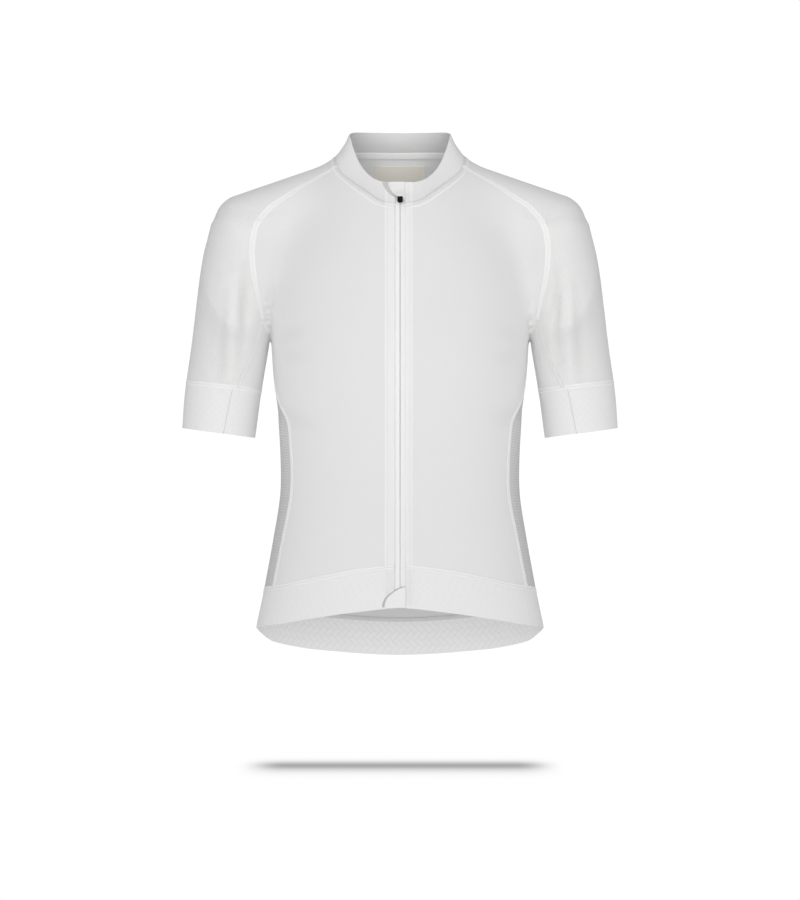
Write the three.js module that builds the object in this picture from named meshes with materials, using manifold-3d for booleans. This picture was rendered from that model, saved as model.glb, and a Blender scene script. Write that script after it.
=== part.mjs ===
// A short-sleeved raglan cycling jersey, worn open and hollow, in millimetres.
// The front faces -Y, +X is the wearer's left and +Z is up.
// The origin lies midway between the shoulders, level with the base of the neck.
import * as THREE from 'three';
import { mergeVertices } from 'three/addons/utils/BufferGeometryUtils.js';
import Module from 'manifold-3d';

const wasm = await Module();
wasm.setup();

const { degToRad, radToDeg, clamp, lerp } = THREE.MathUtils;

// Cloth thicknesses and the gaps between pieces
const PANEL_WALL = 1.1;
const COLLAR_WALL = 1.6;
const BAND_WALL = 1.3;
const TRIM_WALL = 1.0;
const SEAM_GAP = 0.34;
const LAID_GAP = 0.35;

// The full zip: fronts folded back either side of a tape that runs behind them
const ZIP_CHANNEL = 6;
const TAPE_START = 0.8;
const TAPE_EDGE = 16;
const TAPE_END_SHARE = 0.93;

// The neck, seen from above
const NECK_CENTRE_Y = -10;
const NECK_HALF = 75;
const COLLAR_TOP = { centreY: -9, half: 61, depth: 57 };
const COLLAR_WAIST = 1.6;
const RAGLAN_FRONT_TURN = 71;
const RAGLAN_BACK_TURN = 128;

// How many cells each stretch of seam has; the pieces either side share its points
const CELLS = { front: 12, back: 12, shoulder: 14, raglan: 10, armhole: 3, side: 12, flank: 6, arm: 8 };

const named = (names, row) => Object.fromEntries(names.map((name, i) => [name, row[i]]));
const table = (names, ...rows) => rows.map((row) => named(names, row));

// The worn body of the jersey: half width, and depth in front of and behind the shoulder line
const TORSO = table(['z', 'half', 'front', 'back'],
  [-600, 184, 112, 120],
  [-548, 172.5, 106, 113],
  [-500, 162.5, 100, 104],
  [-440, 151.5, 92, 92],
  [-390, 143.8, 87, 84],
  [-350, 143.2, 87, 81],
  [-300, 146, 92, 84],
  [-260, 150, 100, 89],
  [-215, 153.6, 107, 94],
  [-170, 155, 105, 98],
  [-120, 148, 98, 100],
  [-80, 128, 89, 96],
  [-48, 103, 80, 88],
  [-20, 82, 71, 77],
  [5, 72, 62, 67],
  [28, 66, 55, 58.5],
  [60, 58, 50, 50]);
const TORSO_SQUARENESS = 2.15;

// The sleeve, level by level: distance of its middle from the centre, half width and half depth
const ARM = table(['z', 'middle', 'half', 'depth'],
  [-360, 223, 43, 47],
  [-316, 217.7, 44.4, 48],
  [-269, 212.8, 45.8, 49],
  [-211, 204, 46.5, 50.5],
  [-182, 200.5, 46.5, 51],
  [-125, 193, 47, 52],
  [-95, 188, 46.5, 51.5],
  [-80, 184, 45.5, 50],
  [-60, 176, 43, 48]);
const ARM_Y = 5;
const ARM_TOP = -70;
const ARM_BLEND = 18;

// The shoulder, from beside the neck to the head of the sleeve
const SHOULDER = {
  inner: { x: 47, z: -21, radius: 40, depth: 46 },
  outer: { x: 187, z: -65, radius: 36, depth: 49 },
};

// How softly body and sleeve run into each other, level by level
const JOIN = table(['z', 'reach'],
  [-260, 5],
  [-200, 5],
  [-150, 26],
  [-110, 44],
  [-50, 42],
  [-15, 34],
  [10, 30],
  [60, 14]);

// The collar's seam and top edge, by turn from the centre front
const NECK = table(['turn', 'seam', 'top'],
  [0, -48.7, -21],
  [20, -44, -20],
  [34, -33, -13.5],
  [48, -21.5, -0.5],
  [62, -9, 18.5],
  [75, 5, 34],
  [90, 15.5, 41],
  [105, 20.6, 45.5],
  [120, 24, 48],
  [150, 27, 50.3],
  [180, 27.5, 51]);

// The hem band's seam and lower edge, by turn from the centre front
const HEM = table(['turn', 'seam', 'edge'],
  [0, -471, -519],
  [12, -473, -521],
  [34, -479, -526.5],
  [53, -488, -534],
  [67, -496, -541],
  [90, -504.5, -549],
  [100, -512, -557],
  [112, -526, -571],
  [136, -540, -584.3],
  [180, -547, -591.7],
  [224, -540, -584.3]);

// Seams of the right half, seen from the front or the back
const RAGLAN_FRONT = table(['x', 'z'],
  [94, -10.5],
  [120, -25.5],
  [138.5, -38],
  [156, -51],
  [168, -66.5],
  [174, -88],
  [174.5, -110],
  [171.5, -137],
  [166.5, -162]);
const RAGLAN_BACK = table(['x', 'z'],
  [84, 10],
  [110, -8],
  [133, -28],
  [151, -52],
  [161, -80],
  [165, -110],
  [166, -140]);
const ARM_SEAM_FRONT = table(['x', 'z'],
  [166, -195],
  [170, -209],
  [174.5, -223],
  [182.5, -241],
  [189, -254]);
const ARM_SEAM_BACK = table(['x', 'z'],
  [168, -190],
  [172, -206],
  [178, -223],
  [184, -240],
  [189, -253]);

// Points round the armhole: where the arm seams start and where the side seams start
const ARM_SEAM_START_FRONT = { x: 163.5, z: -181 };
const ARMHOLE_FRONT = { x: 157.5, z: -196 };
const SIDE_SEAM_START = { x: 156, y: 6 };
const ARMHOLE_SIDE = { x: 157, z: -197 };
const SIDE_SEAM_START_BACK = { x: 160, z: -187 };
const ARM_SEAM_START_BACK = { x: 164.5, z: -172 };

// Side seams, by turn from the centre front
const SIDE_FRONT = table(['z', 'turn'],
  [-222, 91],
  [-245, 88.5],
  [-276, 81.4],
  [-304, 72.8],
  [-331, 71.8],
  [-385, 71.9],
  [-441, 73.5]);
const SIDE_FRONT_HEM = 74.4;
const SIDE_BACK = table(['z', 'turn'],
  [-215, 103],
  [-260, 105],
  [-304, 107],
  [-358, 108.4],
  [-413, 107.7],
  [-468, 106.5]);
const SIDE_BACK_HEM = 106;

// The cuff's seam and edge: height at the middle of the sleeve, and their slope across it
const CUFF = { seam: -260, edge: -315.8, slope: 0.12, edgeSlope: 0.135 };
const CUFF_SEAM_TURN = 113.7;

// The line over the shoulder and down the outside of the sleeve, and the middle of its hollow
const SLEEVE_CREST = table(['x', 'z'],
  [75, 17],
  [110, 0],
  [137, -10],
  [165, -19],
  [193, -30],
  [213, -42],
  [225, -60],
  [232, -85],
  [240, -130],
  [247, -185],
  [254, -235],
  [257.5, -254]);
const SLEEVE_CORE = table(['x', 'z'],
  [58, -12],
  [85, -30],
  [115, -45],
  [145, -60],
  [168, -75],
  [184, -100],
  [194, -140],
  [203, -190],
  [210, -235],
  [212, -257]);

// Soft folds: troughs (depth above zero) and ridges (below zero) laid over the form
const FOLDS = table(['x', 'y', 'z', 'toX', 'toY', 'toZ', 'reach', 'depth'],
  [-182, -45, -128, -202, -44, -252, 13, 2.6],
  [-168, -35, -178, -188, -40, -246, 9, -1.6],
  [178, -45, -140, 197, -44, -250, 13, 2.4],
  [182, 54, -120, 202, 54, -245, 14, 2.6],
  [-180, 54, -130, -203, 54, -240, 14, 2.2],
  [-146, 0, -286, -112, -68, -304, 14, 2.4],
  [146, -4, -288, 116, -66, -300, 14, 2.2],
  [-142, -38, -462, -112, -72, -432, 11, 2],
  [-70, 82, -352, 84, 80, -338, 15, 3],
  [-92, 76, -384, 40, 86, -396, 16, 2.6],
  [96, 84, -230, 128, 66, -290, 15, 2.2],
  [-100, 84, -222, -126, 68, -282, 15, 2.4]);

// Small pieces
const NECK_TAPE = { shoulderCells: 4, top: 0.6, bottom: 7, clear: 0.55 };
const LABEL = { half: 30.5, top: 12, bottom: -20, cells: 6, rows: 3 };
const POCKET_ROWS = 6;
const GARAGE = table(['x', 'edge'],
  [-16.5, 27],
  [-14, 21.5],
  [-9, 13.9],
  [-3.6, 8.9],
  [0, 8.1],
  [3.5, 7.8],
  [5, 4.8],
  [6.3, 2.4]);
const GARAGE_TOP = 30.3;
const GARAGE_ROWS = 5;
const GARAGE_SWELL = { height: 3.2, x: 8, up: 7.5, rise: 8 };
const GUARD = table(['x', 'top'],
  [-17.9, -515],
  [-15.5, -509],
  [-11.5, -504.5],
  [-6.3, -500.6],
  [-1, -497.4],
  [3, -495.8],
  [6.4, -495.3]);
const GUARD_ROWS = 4;
const COLLAR_HEIGHT = 31;

// The slider and its pull tab, in the collar's own slope: x across, rise up the zip, out from the cloth
const SLIDER = { half: 3, bottom: 3.3, top: 11.6, back: -1.55, face: 0.8 };
const BRIDGE = { half: 0.9, bottom: 3.3, top: 8.7, out: 2.8, sink: 0.4 };
const WINDOW = { bottom: 4.6, top: 7.4, out: 2.15 };
const PULL = { half: 3.2, pivotRise: 6, pivotOut: 1.55, thick: 0.75, bar: 0.75, bottom: 1, round: 3.1 };
const PULL_HOLE = { half: 1.45, bottom: 2.8 };
const ROUND_CELLS = 6;

const COLOURS = {
  panel: 0xe6e6e4, mesh: 0xc8c8c6, band: 0xe2e2e0, tape: 0xeeeeec, label: 0xcbcbbc, hardware: 0x111111,
};
const materials = {
  panel: new THREE.MeshStandardMaterial({ color: COLOURS.panel, roughness: 0.85 }),
  mesh: new THREE.MeshStandardMaterial({ color: COLOURS.mesh, roughness: 0.9 }),
  band: new THREE.MeshStandardMaterial({ color: COLOURS.band, roughness: 0.8 }),
  tape: new THREE.MeshStandardMaterial({ color: COLOURS.tape, roughness: 0.75 }),
  label: new THREE.MeshStandardMaterial({ color: COLOURS.label, roughness: 0.7 }),
  hardware: new THREE.MeshStandardMaterial({ color: COLOURS.hardware, roughness: 0.4, metalness: 0.1 }),
};

// A smooth value from a table, between the rows either side of a key
function slopeAt(rows, key, column, i) {
  const before = rows[Math.max(i - 1, 0)];
  const after = rows[Math.min(i + 1, rows.length - 1)];
  return (after[column] - before[column]) / (after[key] - before[key]);
}

function sample(rows, key, value, column) {
  const above = rows.findIndex((row) => row[key] > value);
  const i = above < 0 ? rows.length - 2 : Math.max(above - 1, 0);
  const span = rows[i + 1][key] - rows[i][key];
  const t = clamp((value - rows[i][key]) / span, 0, 1);
  const values = (1 + 2 * t) * (1 - t) ** 2 * rows[i][column] + t * t * (3 - 2 * t) * rows[i + 1][column];
  const leaving = t * (1 - t) ** 2 * span * slopeAt(rows, key, column, i);
  const arriving = t * t * (t - 1) * span * slopeAt(rows, key, column, i + 1);
  return values + leaving + arriving;
}

// The form that the jersey is worn on: below zero inside it, above zero outside
function ovalDistance(across, along, half, depth, squareness) {
  const x = Math.max(Math.abs(across), 0.001);
  const y = Math.abs(along);
  const share = ((x / half) ** squareness + (y / depth) ** squareness) ** (1 / squareness);
  return Math.hypot(x, y) * (1 - 1 / share);
}

function softUnion(a, b, reach) {
  const overlap = Math.max(reach - Math.abs(a - b), 0) / reach;
  return Math.min(a, b) - overlap * overlap * reach / 4;
}

function shoulderDistance(x, y, z) {
  const { inner, outer } = SHOULDER;
  const runX = outer.x - inner.x;
  const runZ = outer.z - inner.z;
  const along = clamp(((x - inner.x) * runX + (z - inner.z) * runZ) / (runX ** 2 + runZ ** 2), 0, 1);
  const radius = lerp(inner.radius, outer.radius, along);
  const depth = lerp(inner.depth, outer.depth, along);
  const offX = x - inner.x - along * runX;
  const offZ = z - inner.z - along * runZ;
  return Math.hypot(offX, offZ, (y - ARM_Y) * radius / depth) - radius;
}

function formDistance(p) {
  const x = Math.abs(p.x);
  const depth = sample(TORSO, 'z', p.z, p.y < 0 ? 'front' : 'back');
  const torso = ovalDistance(x, p.y, sample(TORSO, 'z', p.z, 'half'), depth, TORSO_SQUARENESS);
  const middle = sample(ARM, 'z', p.z, 'middle');
  const armHalf = sample(ARM, 'z', p.z, 'half');
  const tube = ovalDistance(x - middle, p.y - ARM_Y, armHalf, sample(ARM, 'z', p.z, 'depth'), 2);
  const sleeve = softUnion(shoulderDistance(x, p.y, p.z), Math.max(tube, p.z - ARM_TOP), ARM_BLEND);
  return softUnion(torso, sleeve, sample(JOIN, 'z', p.z, 'reach'));
}

const AXES = [new THREE.Vector3(1, 0, 0), new THREE.Vector3(0, 1, 0), new THREE.Vector3(0, 0, 1)];
const PROBE = 0.2;
const SETTLING_PASSES = 12;
const LONGEST_MOVE = 12;

function formSlope(p) {
  const slopes = AXES.map((axis) => {
    const ahead = formDistance(p.clone().addScaledVector(axis, PROBE));
    const behind = formDistance(p.clone().addScaledVector(axis, -PROBE));
    return (ahead - behind) / (2 * PROBE);
  });
  return new THREE.Vector3(...slopes);
}

const formNormal = (p) => formSlope(p).normalize();

// A point near the form, moved onto it
function ontoForm(p) {
  const q = p.clone();
  for (let pass = 0; pass < SETTLING_PASSES; pass += 1) {
    const slope = formSlope(q);
    q.addScaledVector(slope, clamp(-formDistance(q) / slope.lengthSq(), -LONGEST_MOVE, LONGEST_MOVE));
  }
  return q;
}

// The first place where a line from a point passes through the form
const MARCH = 1.5;
const REACH = 260;
const HALVINGS = 24;

function crossing(start, direction) {
  const at = (length) => start.clone().addScaledVector(direction, length);
  const outside = formDistance(start) > 0;
  let far = MARCH;
  while (far < REACH && formDistance(at(far)) > 0 === outside) {
    far += MARCH;
  }
  let near = far - MARCH;
  for (let pass = 0; pass < HALVINGS; pass += 1) {
    const middle = (near + far) / 2;
    if (formDistance(at(middle)) > 0 === outside) {
      near = middle;
    } else {
      far = middle;
    }
  }
  return at(far);
}

const OUTSIDE_Y = 200;
const BELOW_ARMPIT = -300;
const point = (x, y, z) => new THREE.Vector3(x, y, z);
const onFront = ({ x, z }) => crossing(point(x, -OUTSIDE_Y, z), point(0, 1, 0));
const onBack = ({ x, z }) => crossing(point(x, OUTSIDE_Y, z), point(0, -1, 0));
const fromBelow = ({ x, y }) => crossing(point(x, y, BELOW_ARMPIT), point(0, 0, 1));
const heading = (turn) => point(Math.sin(degToRad(turn)), -Math.cos(degToRad(turn)), 0);
const onBody = ({ turn, z }) => crossing(point(0, 0, z), heading(turn));

// Seams: smooth curves through a few points, sampled once and shared by the pieces they join
function seam(points, cells) {
  const curve = new THREE.CatmullRomCurve3(points, false, 'centripetal');
  const spaced = curve.getSpacedPoints(cells).map(ontoForm);
  spaced[0] = points[0];
  spaced[cells] = points.at(-1);
  return spaced;
}

const steps = (from, to, cells) => Array.from({ length: cells + 1 }, (_, i) => lerp(from, to, i / cells));
const joined = (...lists) => lists.flatMap((list, i) => (i === 0 ? list : list.slice(1)));

const neckPoint = (turn) => {
  const z = sample(NECK, 'turn', turn, 'seam');
  return crossing(point(0, NECK_CENTRE_Y, z), heading(turn));
};
const hemPoint = (turn, column) => onBody({ turn, z: sample(HEM, 'turn', turn, column) });

const neckTurnAt = (x) => radToDeg(Math.asin(x / NECK_HALF));
const frontTurns = [neckTurnAt(ZIP_CHANNEL), ...steps(neckTurnAt(TAPE_EDGE), RAGLAN_FRONT_TURN, CELLS.front)];
const shoulderTurns = steps(RAGLAN_FRONT_TURN, RAGLAN_BACK_TURN, CELLS.shoulder);
const backTurns = steps(RAGLAN_BACK_TURN, 180, CELLS.back);
const hemTurnAt = (x) => radToDeg(Math.atan(x / sample(TORSO, 'z', HEM[0].seam, 'front')));
const hemFrontTurns = [hemTurnAt(ZIP_CHANNEL), ...steps(hemTurnAt(TAPE_EDGE), SIDE_FRONT_HEM, CELLS.front)];
const hemFlankTurns = steps(SIDE_FRONT_HEM, SIDE_BACK_HEM, CELLS.flank);
const hemBackTurns = steps(SIDE_BACK_HEM, 180, CELLS.back);

// Where the seams meet
const neckFront = neckPoint(RAGLAN_FRONT_TURN);
const neckBack = neckPoint(RAGLAN_BACK_TURN);
const armStartFront = onFront(ARM_SEAM_START_FRONT);
const armStartBack = onBack(ARM_SEAM_START_BACK);
const sideStartFront = fromBelow(SIDE_SEAM_START);
const sideStartBack = onBack(SIDE_SEAM_START_BACK);

// The cuff: a level cut across the sleeve, tipped to follow it, with eased corners
function cuffPoint(turn, share) {
  const across = Math.cos(degToRad(turn));
  const level = lerp(CUFF.seam, CUFF.edge, share);
  const middle = sample(ARM, 'z', level, 'middle');
  const half = sample(ARM, 'z', level, 'half');
  const z = level + lerp(CUFF.slope, CUFF.edgeSlope, share) * half * across;
  return crossing(point(middle, ARM_Y, z), heading(90 - turn));
}

const cuffOverTurns = steps(CUFF_SEAM_TURN, -CUFF_SEAM_TURN, CELLS.shoulder);
const cuffUnderCells = CELLS.armhole * 2 + CELLS.flank;
const cuffUnderTurns = steps(CUFF_SEAM_TURN, 360 - CUFF_SEAM_TURN, cuffUnderCells);
const cuffFront = cuffPoint(CUFF_SEAM_TURN, 0);
const cuffBack = cuffPoint(-CUFF_SEAM_TURN, 0);

const seams = {
  raglanFront: seam([neckFront, ...RAGLAN_FRONT.map(onFront), armStartFront], CELLS.raglan),
  raglanBack: seam([neckBack, ...RAGLAN_BACK.map(onBack), armStartBack], CELLS.raglan),
  armholeFront: seam([armStartFront, onFront(ARMHOLE_FRONT), sideStartFront], CELLS.armhole),
  armholeSide: seam([sideStartFront, onBack(ARMHOLE_SIDE), sideStartBack], CELLS.flank),
  armholeBack: seam([sideStartBack, armStartBack], CELLS.armhole),
  armFront: seam([armStartFront, ...ARM_SEAM_FRONT.map(onFront), cuffFront], CELLS.arm),
  armBack: seam([armStartBack, ...ARM_SEAM_BACK.map(onBack), cuffBack], CELLS.arm),
  sideFront: seam([sideStartFront, ...SIDE_FRONT.map(onBody), hemPoint(SIDE_FRONT_HEM, 'seam')], CELLS.side),
  sideBack: seam([sideStartBack, ...SIDE_BACK.map(onBody), hemPoint(SIDE_BACK_HEM, 'seam')], CELLS.side),
  neckShoulder: shoulderTurns.map(neckPoint),
  hemFlank: hemFlankTurns.map((turn) => hemPoint(turn, 'seam')),
  cuffOver: cuffOverTurns.map((turn) => cuffPoint(turn, 0)),
  cuffUnder: cuffUnderTurns.map((turn) => cuffPoint(turn, 0)),
};

const mirrored = (points) => points.map((p) => point(-p.x, p.y, p.z));
const mirroredGrid = (grid) => grid.map(mirrored);

// A panel between four seams, blended across and laid onto the form
function panel(top, bottom, left, right) {
  return left.map((leftPoint, row) => {
    const down = row / (left.length - 1);
    return top.map((topPoint, column) => {
      const across = column / (top.length - 1);
      const between = leftPoint.clone().lerp(right[row], across);
      const hung = topPoint.clone().lerp(bottom[column], down);
      const topChord = top[0].clone().lerp(top.at(-1), across);
      const bottomChord = bottom[0].clone().lerp(bottom.at(-1), across);
      const blended = between.add(hung).sub(topChord.lerp(bottomChord, down));
      const onRim = row === 0 || column === 0 || row === left.length - 1 || column === top.length - 1;
      return onRim ? blended : ontoForm(blended);
    });
  });
}

// A sleeve: each row runs from the front seam over the crest to the back seam
function turned(from, to, share) {
  const angle = from.angleTo(to);
  const a = Math.sin((1 - share) * angle) / Math.sin(angle);
  const b = Math.sin(share * angle) / Math.sin(angle);
  return from.clone().multiplyScalar(a).addScaledVector(to, b);
}

function flatCurve(rows, y) {
  const points = rows.map(({ x, z }) => point(x, y, z));
  return new THREE.CatmullRomCurve3(points, false, 'centripetal');
}

function sleevePanel(front, back, top, bottom) {
  const crest = flatCurve(SLEEVE_CREST, ARM_Y);
  const core = flatCurve(SLEEVE_CORE, ARM_Y);
  const last = front.length - 1;
  return front.map((frontPoint, row) => {
    if (row === 0) {
      return top;
    }
    if (row === last) {
      return bottom;
    }
    const middle = core.getPointAt(row / last);
    const toFront = frontPoint.clone().sub(middle).normalize();
    const toBack = back[row].clone().sub(middle).normalize();
    const toCrest = crest.getPointAt(row / last).sub(middle).normalize();
    return top.map((_, column) => {
      const share = column / (top.length - 1);
      if (share === 0 || share === 1) {
        return share === 0 ? frontPoint : back[row];
      }
      const aim = share < 0.5 ? turned(toFront, toCrest, share * 2) : turned(toCrest, toBack, share * 2 - 1);
      return crossing(middle, aim.normalize());
    });
  });
}

// The fronts: rows stay level with those at the side, and the first strip hides the zip tape
const frontSide = joined(seams.raglanFront, seams.armholeFront, seams.sideFront);
const backSide = joined(seams.raglanBack, seams.armholeBack.toReversed(), seams.sideBack);

function frontLine(x) {
  const top = neckPoint(neckTurnAt(x)).z;
  const bottom = hemPoint(hemTurnAt(x), 'seam').z;
  const last = frontSide.length - 1;
  return frontSide.map((sidePoint, row) => {
    const down = row / last;
    const bow = sidePoint.z - lerp(frontSide[0].z, frontSide[last].z, down);
    return onFront({ x, z: lerp(top, bottom, down) + bow });
  });
}

const edgeLine = frontLine(ZIP_CHANNEL);
const tapeLine = frontLine(TAPE_EDGE);
const centreLine = frontLine(TAPE_START);
tapeLine[0] = neckPoint(frontTurns[1]);
tapeLine[frontSide.length - 1] = hemPoint(hemFrontTurns[1], 'seam');
const frontTop = frontTurns.slice(1).map(neckPoint);
const frontBottom = hemFrontTurns.slice(1).map((turn) => hemPoint(turn, 'seam'));
const frontGrid = panel(frontTop, frontBottom, tapeLine, frontSide).map((row, i) => [edgeLine[i], ...row]);

const backTopHalf = backTurns.map(neckPoint);
const backBottomHalf = hemBackTurns.map((turn) => hemPoint(turn, 'seam'));
const whole = (half) => joined(half, mirrored(half).toReversed());
const backGrid = panel(whole(backTopHalf), whole(backBottomHalf), backSide, mirrored(backSide));

const sideGrid = panel(seams.armholeSide, seams.hemFlank, seams.sideFront, seams.sideBack);
const sleeveFront = joined(seams.raglanFront, seams.armFront);
const sleeveBack = joined(seams.raglanBack, seams.armBack);
const sleeveGrid = sleevePanel(sleeveFront, sleeveBack, seams.neckShoulder, seams.cuffOver);
const armholeUnder = joined(seams.armholeFront, seams.armholeSide, seams.armholeBack);
const underGrid = panel(armholeUnder, seams.cuffUnder, seams.armFront, seams.armBack);

const CUFF_SHARES = [0, 1 / 3, 2 / 3, 1];
const cuffTurns = joined(cuffOverTurns.toReversed(), cuffUnderTurns).slice(0, -1);
const cuffGrid = CUFF_SHARES.map((share) => cuffTurns.map((turn) => cuffPoint(turn, share)));

const HEM_SHARES = [0, 0.5, 1];
const hemTurns = joined(hemFrontTurns, hemFlankTurns, hemBackTurns);
const hemGrid = HEM_SHARES.map((share) => whole(hemTurns.map((turn) => {
  const seamZ = sample(HEM, 'turn', turn, 'seam');
  return onBody({ turn, z: lerp(seamZ, sample(HEM, 'turn', turn, 'edge'), share) });
})));

// The collar stands on the neck seam and leans in to its top edge, a little waisted between
function collarPoint(turn, share) {
  const foot = neckPoint(turn);
  const aim = heading(turn);
  const top = point(COLLAR_TOP.half * aim.x, COLLAR_TOP.centreY + COLLAR_TOP.depth * aim.y, 0);
  top.z = sample(NECK, 'turn', turn, 'top');
  const waist = COLLAR_WAIST * Math.sin(Math.PI * share);
  return foot.lerp(top, share).addScaledVector(aim, -waist);
}

function collarNormal(turn, share) {
  const low = Math.max(share - 0.1, 0);
  const up = collarPoint(turn, low + 0.1).sub(collarPoint(turn, low));
  const across = collarPoint(turn + 1, share).sub(collarPoint(turn - 1, share));
  return across.cross(up).normalize();
}

const COLLAR_SHARES = [0, 1 / 3, 2 / 3, 1];
const neckTurns = joined(frontTurns, shoulderTurns, backTurns);
const collarHalf = COLLAR_SHARES.map((share) => neckTurns.map((turn) => collarPoint(turn, share)));
const collarGrid = collarHalf.map(whole);
const flipped = ({ x, y, z }) => point(-x, y, z);
const collarFacing = (turn, share) => (share === 0 ? formNormal(neckPoint(turn)) : collarNormal(turn, share));
const collarNormals = COLLAR_SHARES.map((share) => {
  const half = neckTurns.map((turn) => collarFacing(turn, share));
  return joined(half, half.map(flipped).toReversed());
});

// Folds move every layer at a place by the same amount, and run out at their ends
const FOLD_ENDS = [0.12, 0.88];

function foldDepth(p) {
  return FOLDS.reduce((sum, fold) => {
    const start = point(fold.x, fold.y, fold.z);
    const line = new THREE.Line3(start, point(fold.toX, fold.toY, fold.toZ));
    const along = clamp(line.closestPointToPointParameter(p, false), 0, 1);
    const away = line.at(along, point(0, 0, 0)).distanceTo(p) / fold.reach;
    const ends = Math.sin(Math.PI * clamp(along, ...FOLD_ENDS));
    return sum + fold.depth * ends * Math.exp(-away * away);
  }, 0);
}

// The rim of a grid, pulled in along the cloth so that neighbours stay apart
function rimLoop(rows, columns) {
  const top = steps(0, columns - 1, columns - 1).map((c) => [0, Math.round(c)]);
  const right = steps(0, rows - 1, rows - 1).map((r) => [Math.round(r), columns - 1]);
  const bottom = steps(columns - 1, 0, columns - 1).map((c) => [rows - 1, Math.round(c)]);
  const left = steps(rows - 1, 0, rows - 1).map((r) => [Math.round(r), 0]);
  return [top, right, bottom, left].flatMap((side) => side.slice(0, -1));
}

const SHARPEST_CORNER = 0.4;

function trimmedOpen(grid, normals, gap) {
  const loop = rimLoop(grid.length, grid[0].length);
  const row = Math.floor((grid.length - 1) / 2);
  const column = Math.floor((grid[0].length - 1) / 2);
  const centre = grid[row][column];
  const downwards = grid[row + 1][column].clone().sub(centre);
  const sideways = grid[row][column + 1].clone().sub(centre);
  const hand = Math.sign(normals[row][column].clone().cross(sideways).dot(downwards));
  const moved = grid.map((line) => line.map((p) => p.clone()));
  loop.forEach(([atRow, atColumn], i) => {
    const [beforeRow, beforeColumn] = loop.at(i - 1);
    const [afterRow, afterColumn] = loop[(i + 1) % loop.length];
    const here = grid[atRow][atColumn];
    const normal = normals[atRow][atColumn];
    const arrival = here.clone().sub(grid[beforeRow][beforeColumn]);
    const departure = grid[afterRow][afterColumn].clone().sub(here);
    const arriving = normal.clone().add(normals[beforeRow][beforeColumn]).cross(arrival).normalize();
    const leaving = normal.clone().add(normals[afterRow][afterColumn]).cross(departure).normalize();
    const stretch = Math.max(1 + arriving.dot(leaving), SHARPEST_CORNER);
    moved[atRow][atColumn].addScaledVector(arriving.add(leaving), hand * gap / stretch);
  });
  return moved;
}

function trimmedTube(grid, gap) {
  const moved = grid.map((row) => row.map((p) => p.clone()));
  const last = grid.length - 1;
  [[0, 1], [last, last - 1]].forEach(([rim, next]) => {
    moved[rim].forEach((p, i) => p.addScaledVector(grid[next][i].clone().sub(grid[rim][i]).normalize(), gap));
  });
  return moved;
}

// A closed wall of cloth from the points of its outer face
function closedWall(outer, inner, tube, symmetric) {
  const rows = outer.length;
  const columns = outer[0].length;
  const positions = [...outer.flat(), ...inner.flat()].flatMap((p) => [p.x, p.y, p.z]);
  const faceOf = (side, row, column) => side * rows * columns + row * columns + (column % columns);
  const indices = [];
  const quad = (a, b, c, d) => indices.push(a, b, c, a, c, d);
  const placeOf = (i) => point(...positions.slice(3 * i, 3 * i + 3));
  const spanOf = (a, b) => placeOf(a).distanceTo(placeOf(b));
  const rim = (a, b, c, d) => (spanOf(a, c) < spanOf(b, d) ? quad(a, b, c, d) : quad(b, c, d, a));
  const lastColumn = tube ? columns : columns - 1;
  const lastRow = rows - 1;
  for (let row = 0; row < lastRow; row += 1) {
    for (let column = 0; column < lastColumn; column += 1) {
      const here = [row, column];
      const right = [row, column + 1];
      const below = [row + 1, column];
      const across = [row + 1, column + 1];
      const turned = symmetric && column >= lastColumn / 2;
      const outside = turned ? [right, across, below, here] : [here, right, across, below];
      quad(...outside.map((place) => faceOf(0, ...place)));
      const inside = turned ? [right, here, below, across] : [here, below, across, right];
      quad(...inside.map((place) => faceOf(1, ...place)));
    }
    if (!tube) {
      rim(faceOf(0, row + 1, 0), faceOf(1, row + 1, 0), faceOf(1, row, 0), faceOf(0, row, 0));
      const end = columns - 1;
      rim(faceOf(0, row, end), faceOf(1, row, end), faceOf(1, row + 1, end), faceOf(0, row + 1, end));
    }
  }
  for (let column = 0; column < lastColumn; column += 1) {
    const next = column + 1;
    const top = [faceOf(0, 0, column), faceOf(1, 0, column), faceOf(1, 0, next), faceOf(0, 0, next)];
    rim(...top);
    const [outerRow, innerRow] = [faceOf(0, lastRow, 0), faceOf(1, lastRow, 0)];
    const [from, to] = [column, next % columns];
    rim(outerRow + to, innerRow + to, innerRow + from, outerRow + from);
  }
  const geometry = new THREE.BufferGeometry();
  geometry.setAttribute('position', new THREE.Float32BufferAttribute(positions, 3));
  geometry.setIndex(volumeOf(positions, indices) < 0 ? indices.toReversed() : indices);
  geometry.computeVertexNormals();
  return geometry;
}

function volumeOf(positions, indices) {
  const corner = (i) => point(...positions.slice(3 * indices[i], 3 * indices[i] + 3));
  let volume = 0;
  for (let i = 0; i < indices.length; i += 3) {
    volume += corner(i).dot(corner(i + 1).cross(corner(i + 2))) / 6;
  }
  return volume;
}

function cloth(name, material, grid, options = {}) {
  const { wall = PANEL_WALL, lift = 0, tube = false, symmetric = false, gap = SEAM_GAP / 2 } = options;
  const normals = options.normals ?? grid.map((row) => row.map(formNormal));
  const trimmed = tube ? trimmedTube(grid, gap) : trimmedOpen(grid, normals, gap);
  const moved = (points, reach) => points.map((row, i) => row.map((p, j) => {
    return p.clone().addScaledVector(normals[i][j], reach(p));
  }));
  const outer = moved(trimmed, (p) => lift - foldDepth(p));
  const inner = moved(outer, () => -wall);
  const mesh = new THREE.Mesh(closedWall(outer, inner, tube, symmetric), material);
  mesh.name = name;
  return mesh;
}

// Both sides of a piece that the jersey has left and right; the wearer's left is at +X
function pair(name, material, grid, options) {
  const left = cloth(`${name}_left`, material, grid, options);
  const right = cloth(`${name}_right`, material, mirroredGrid(grid), options);
  return [left, right];
}

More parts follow.
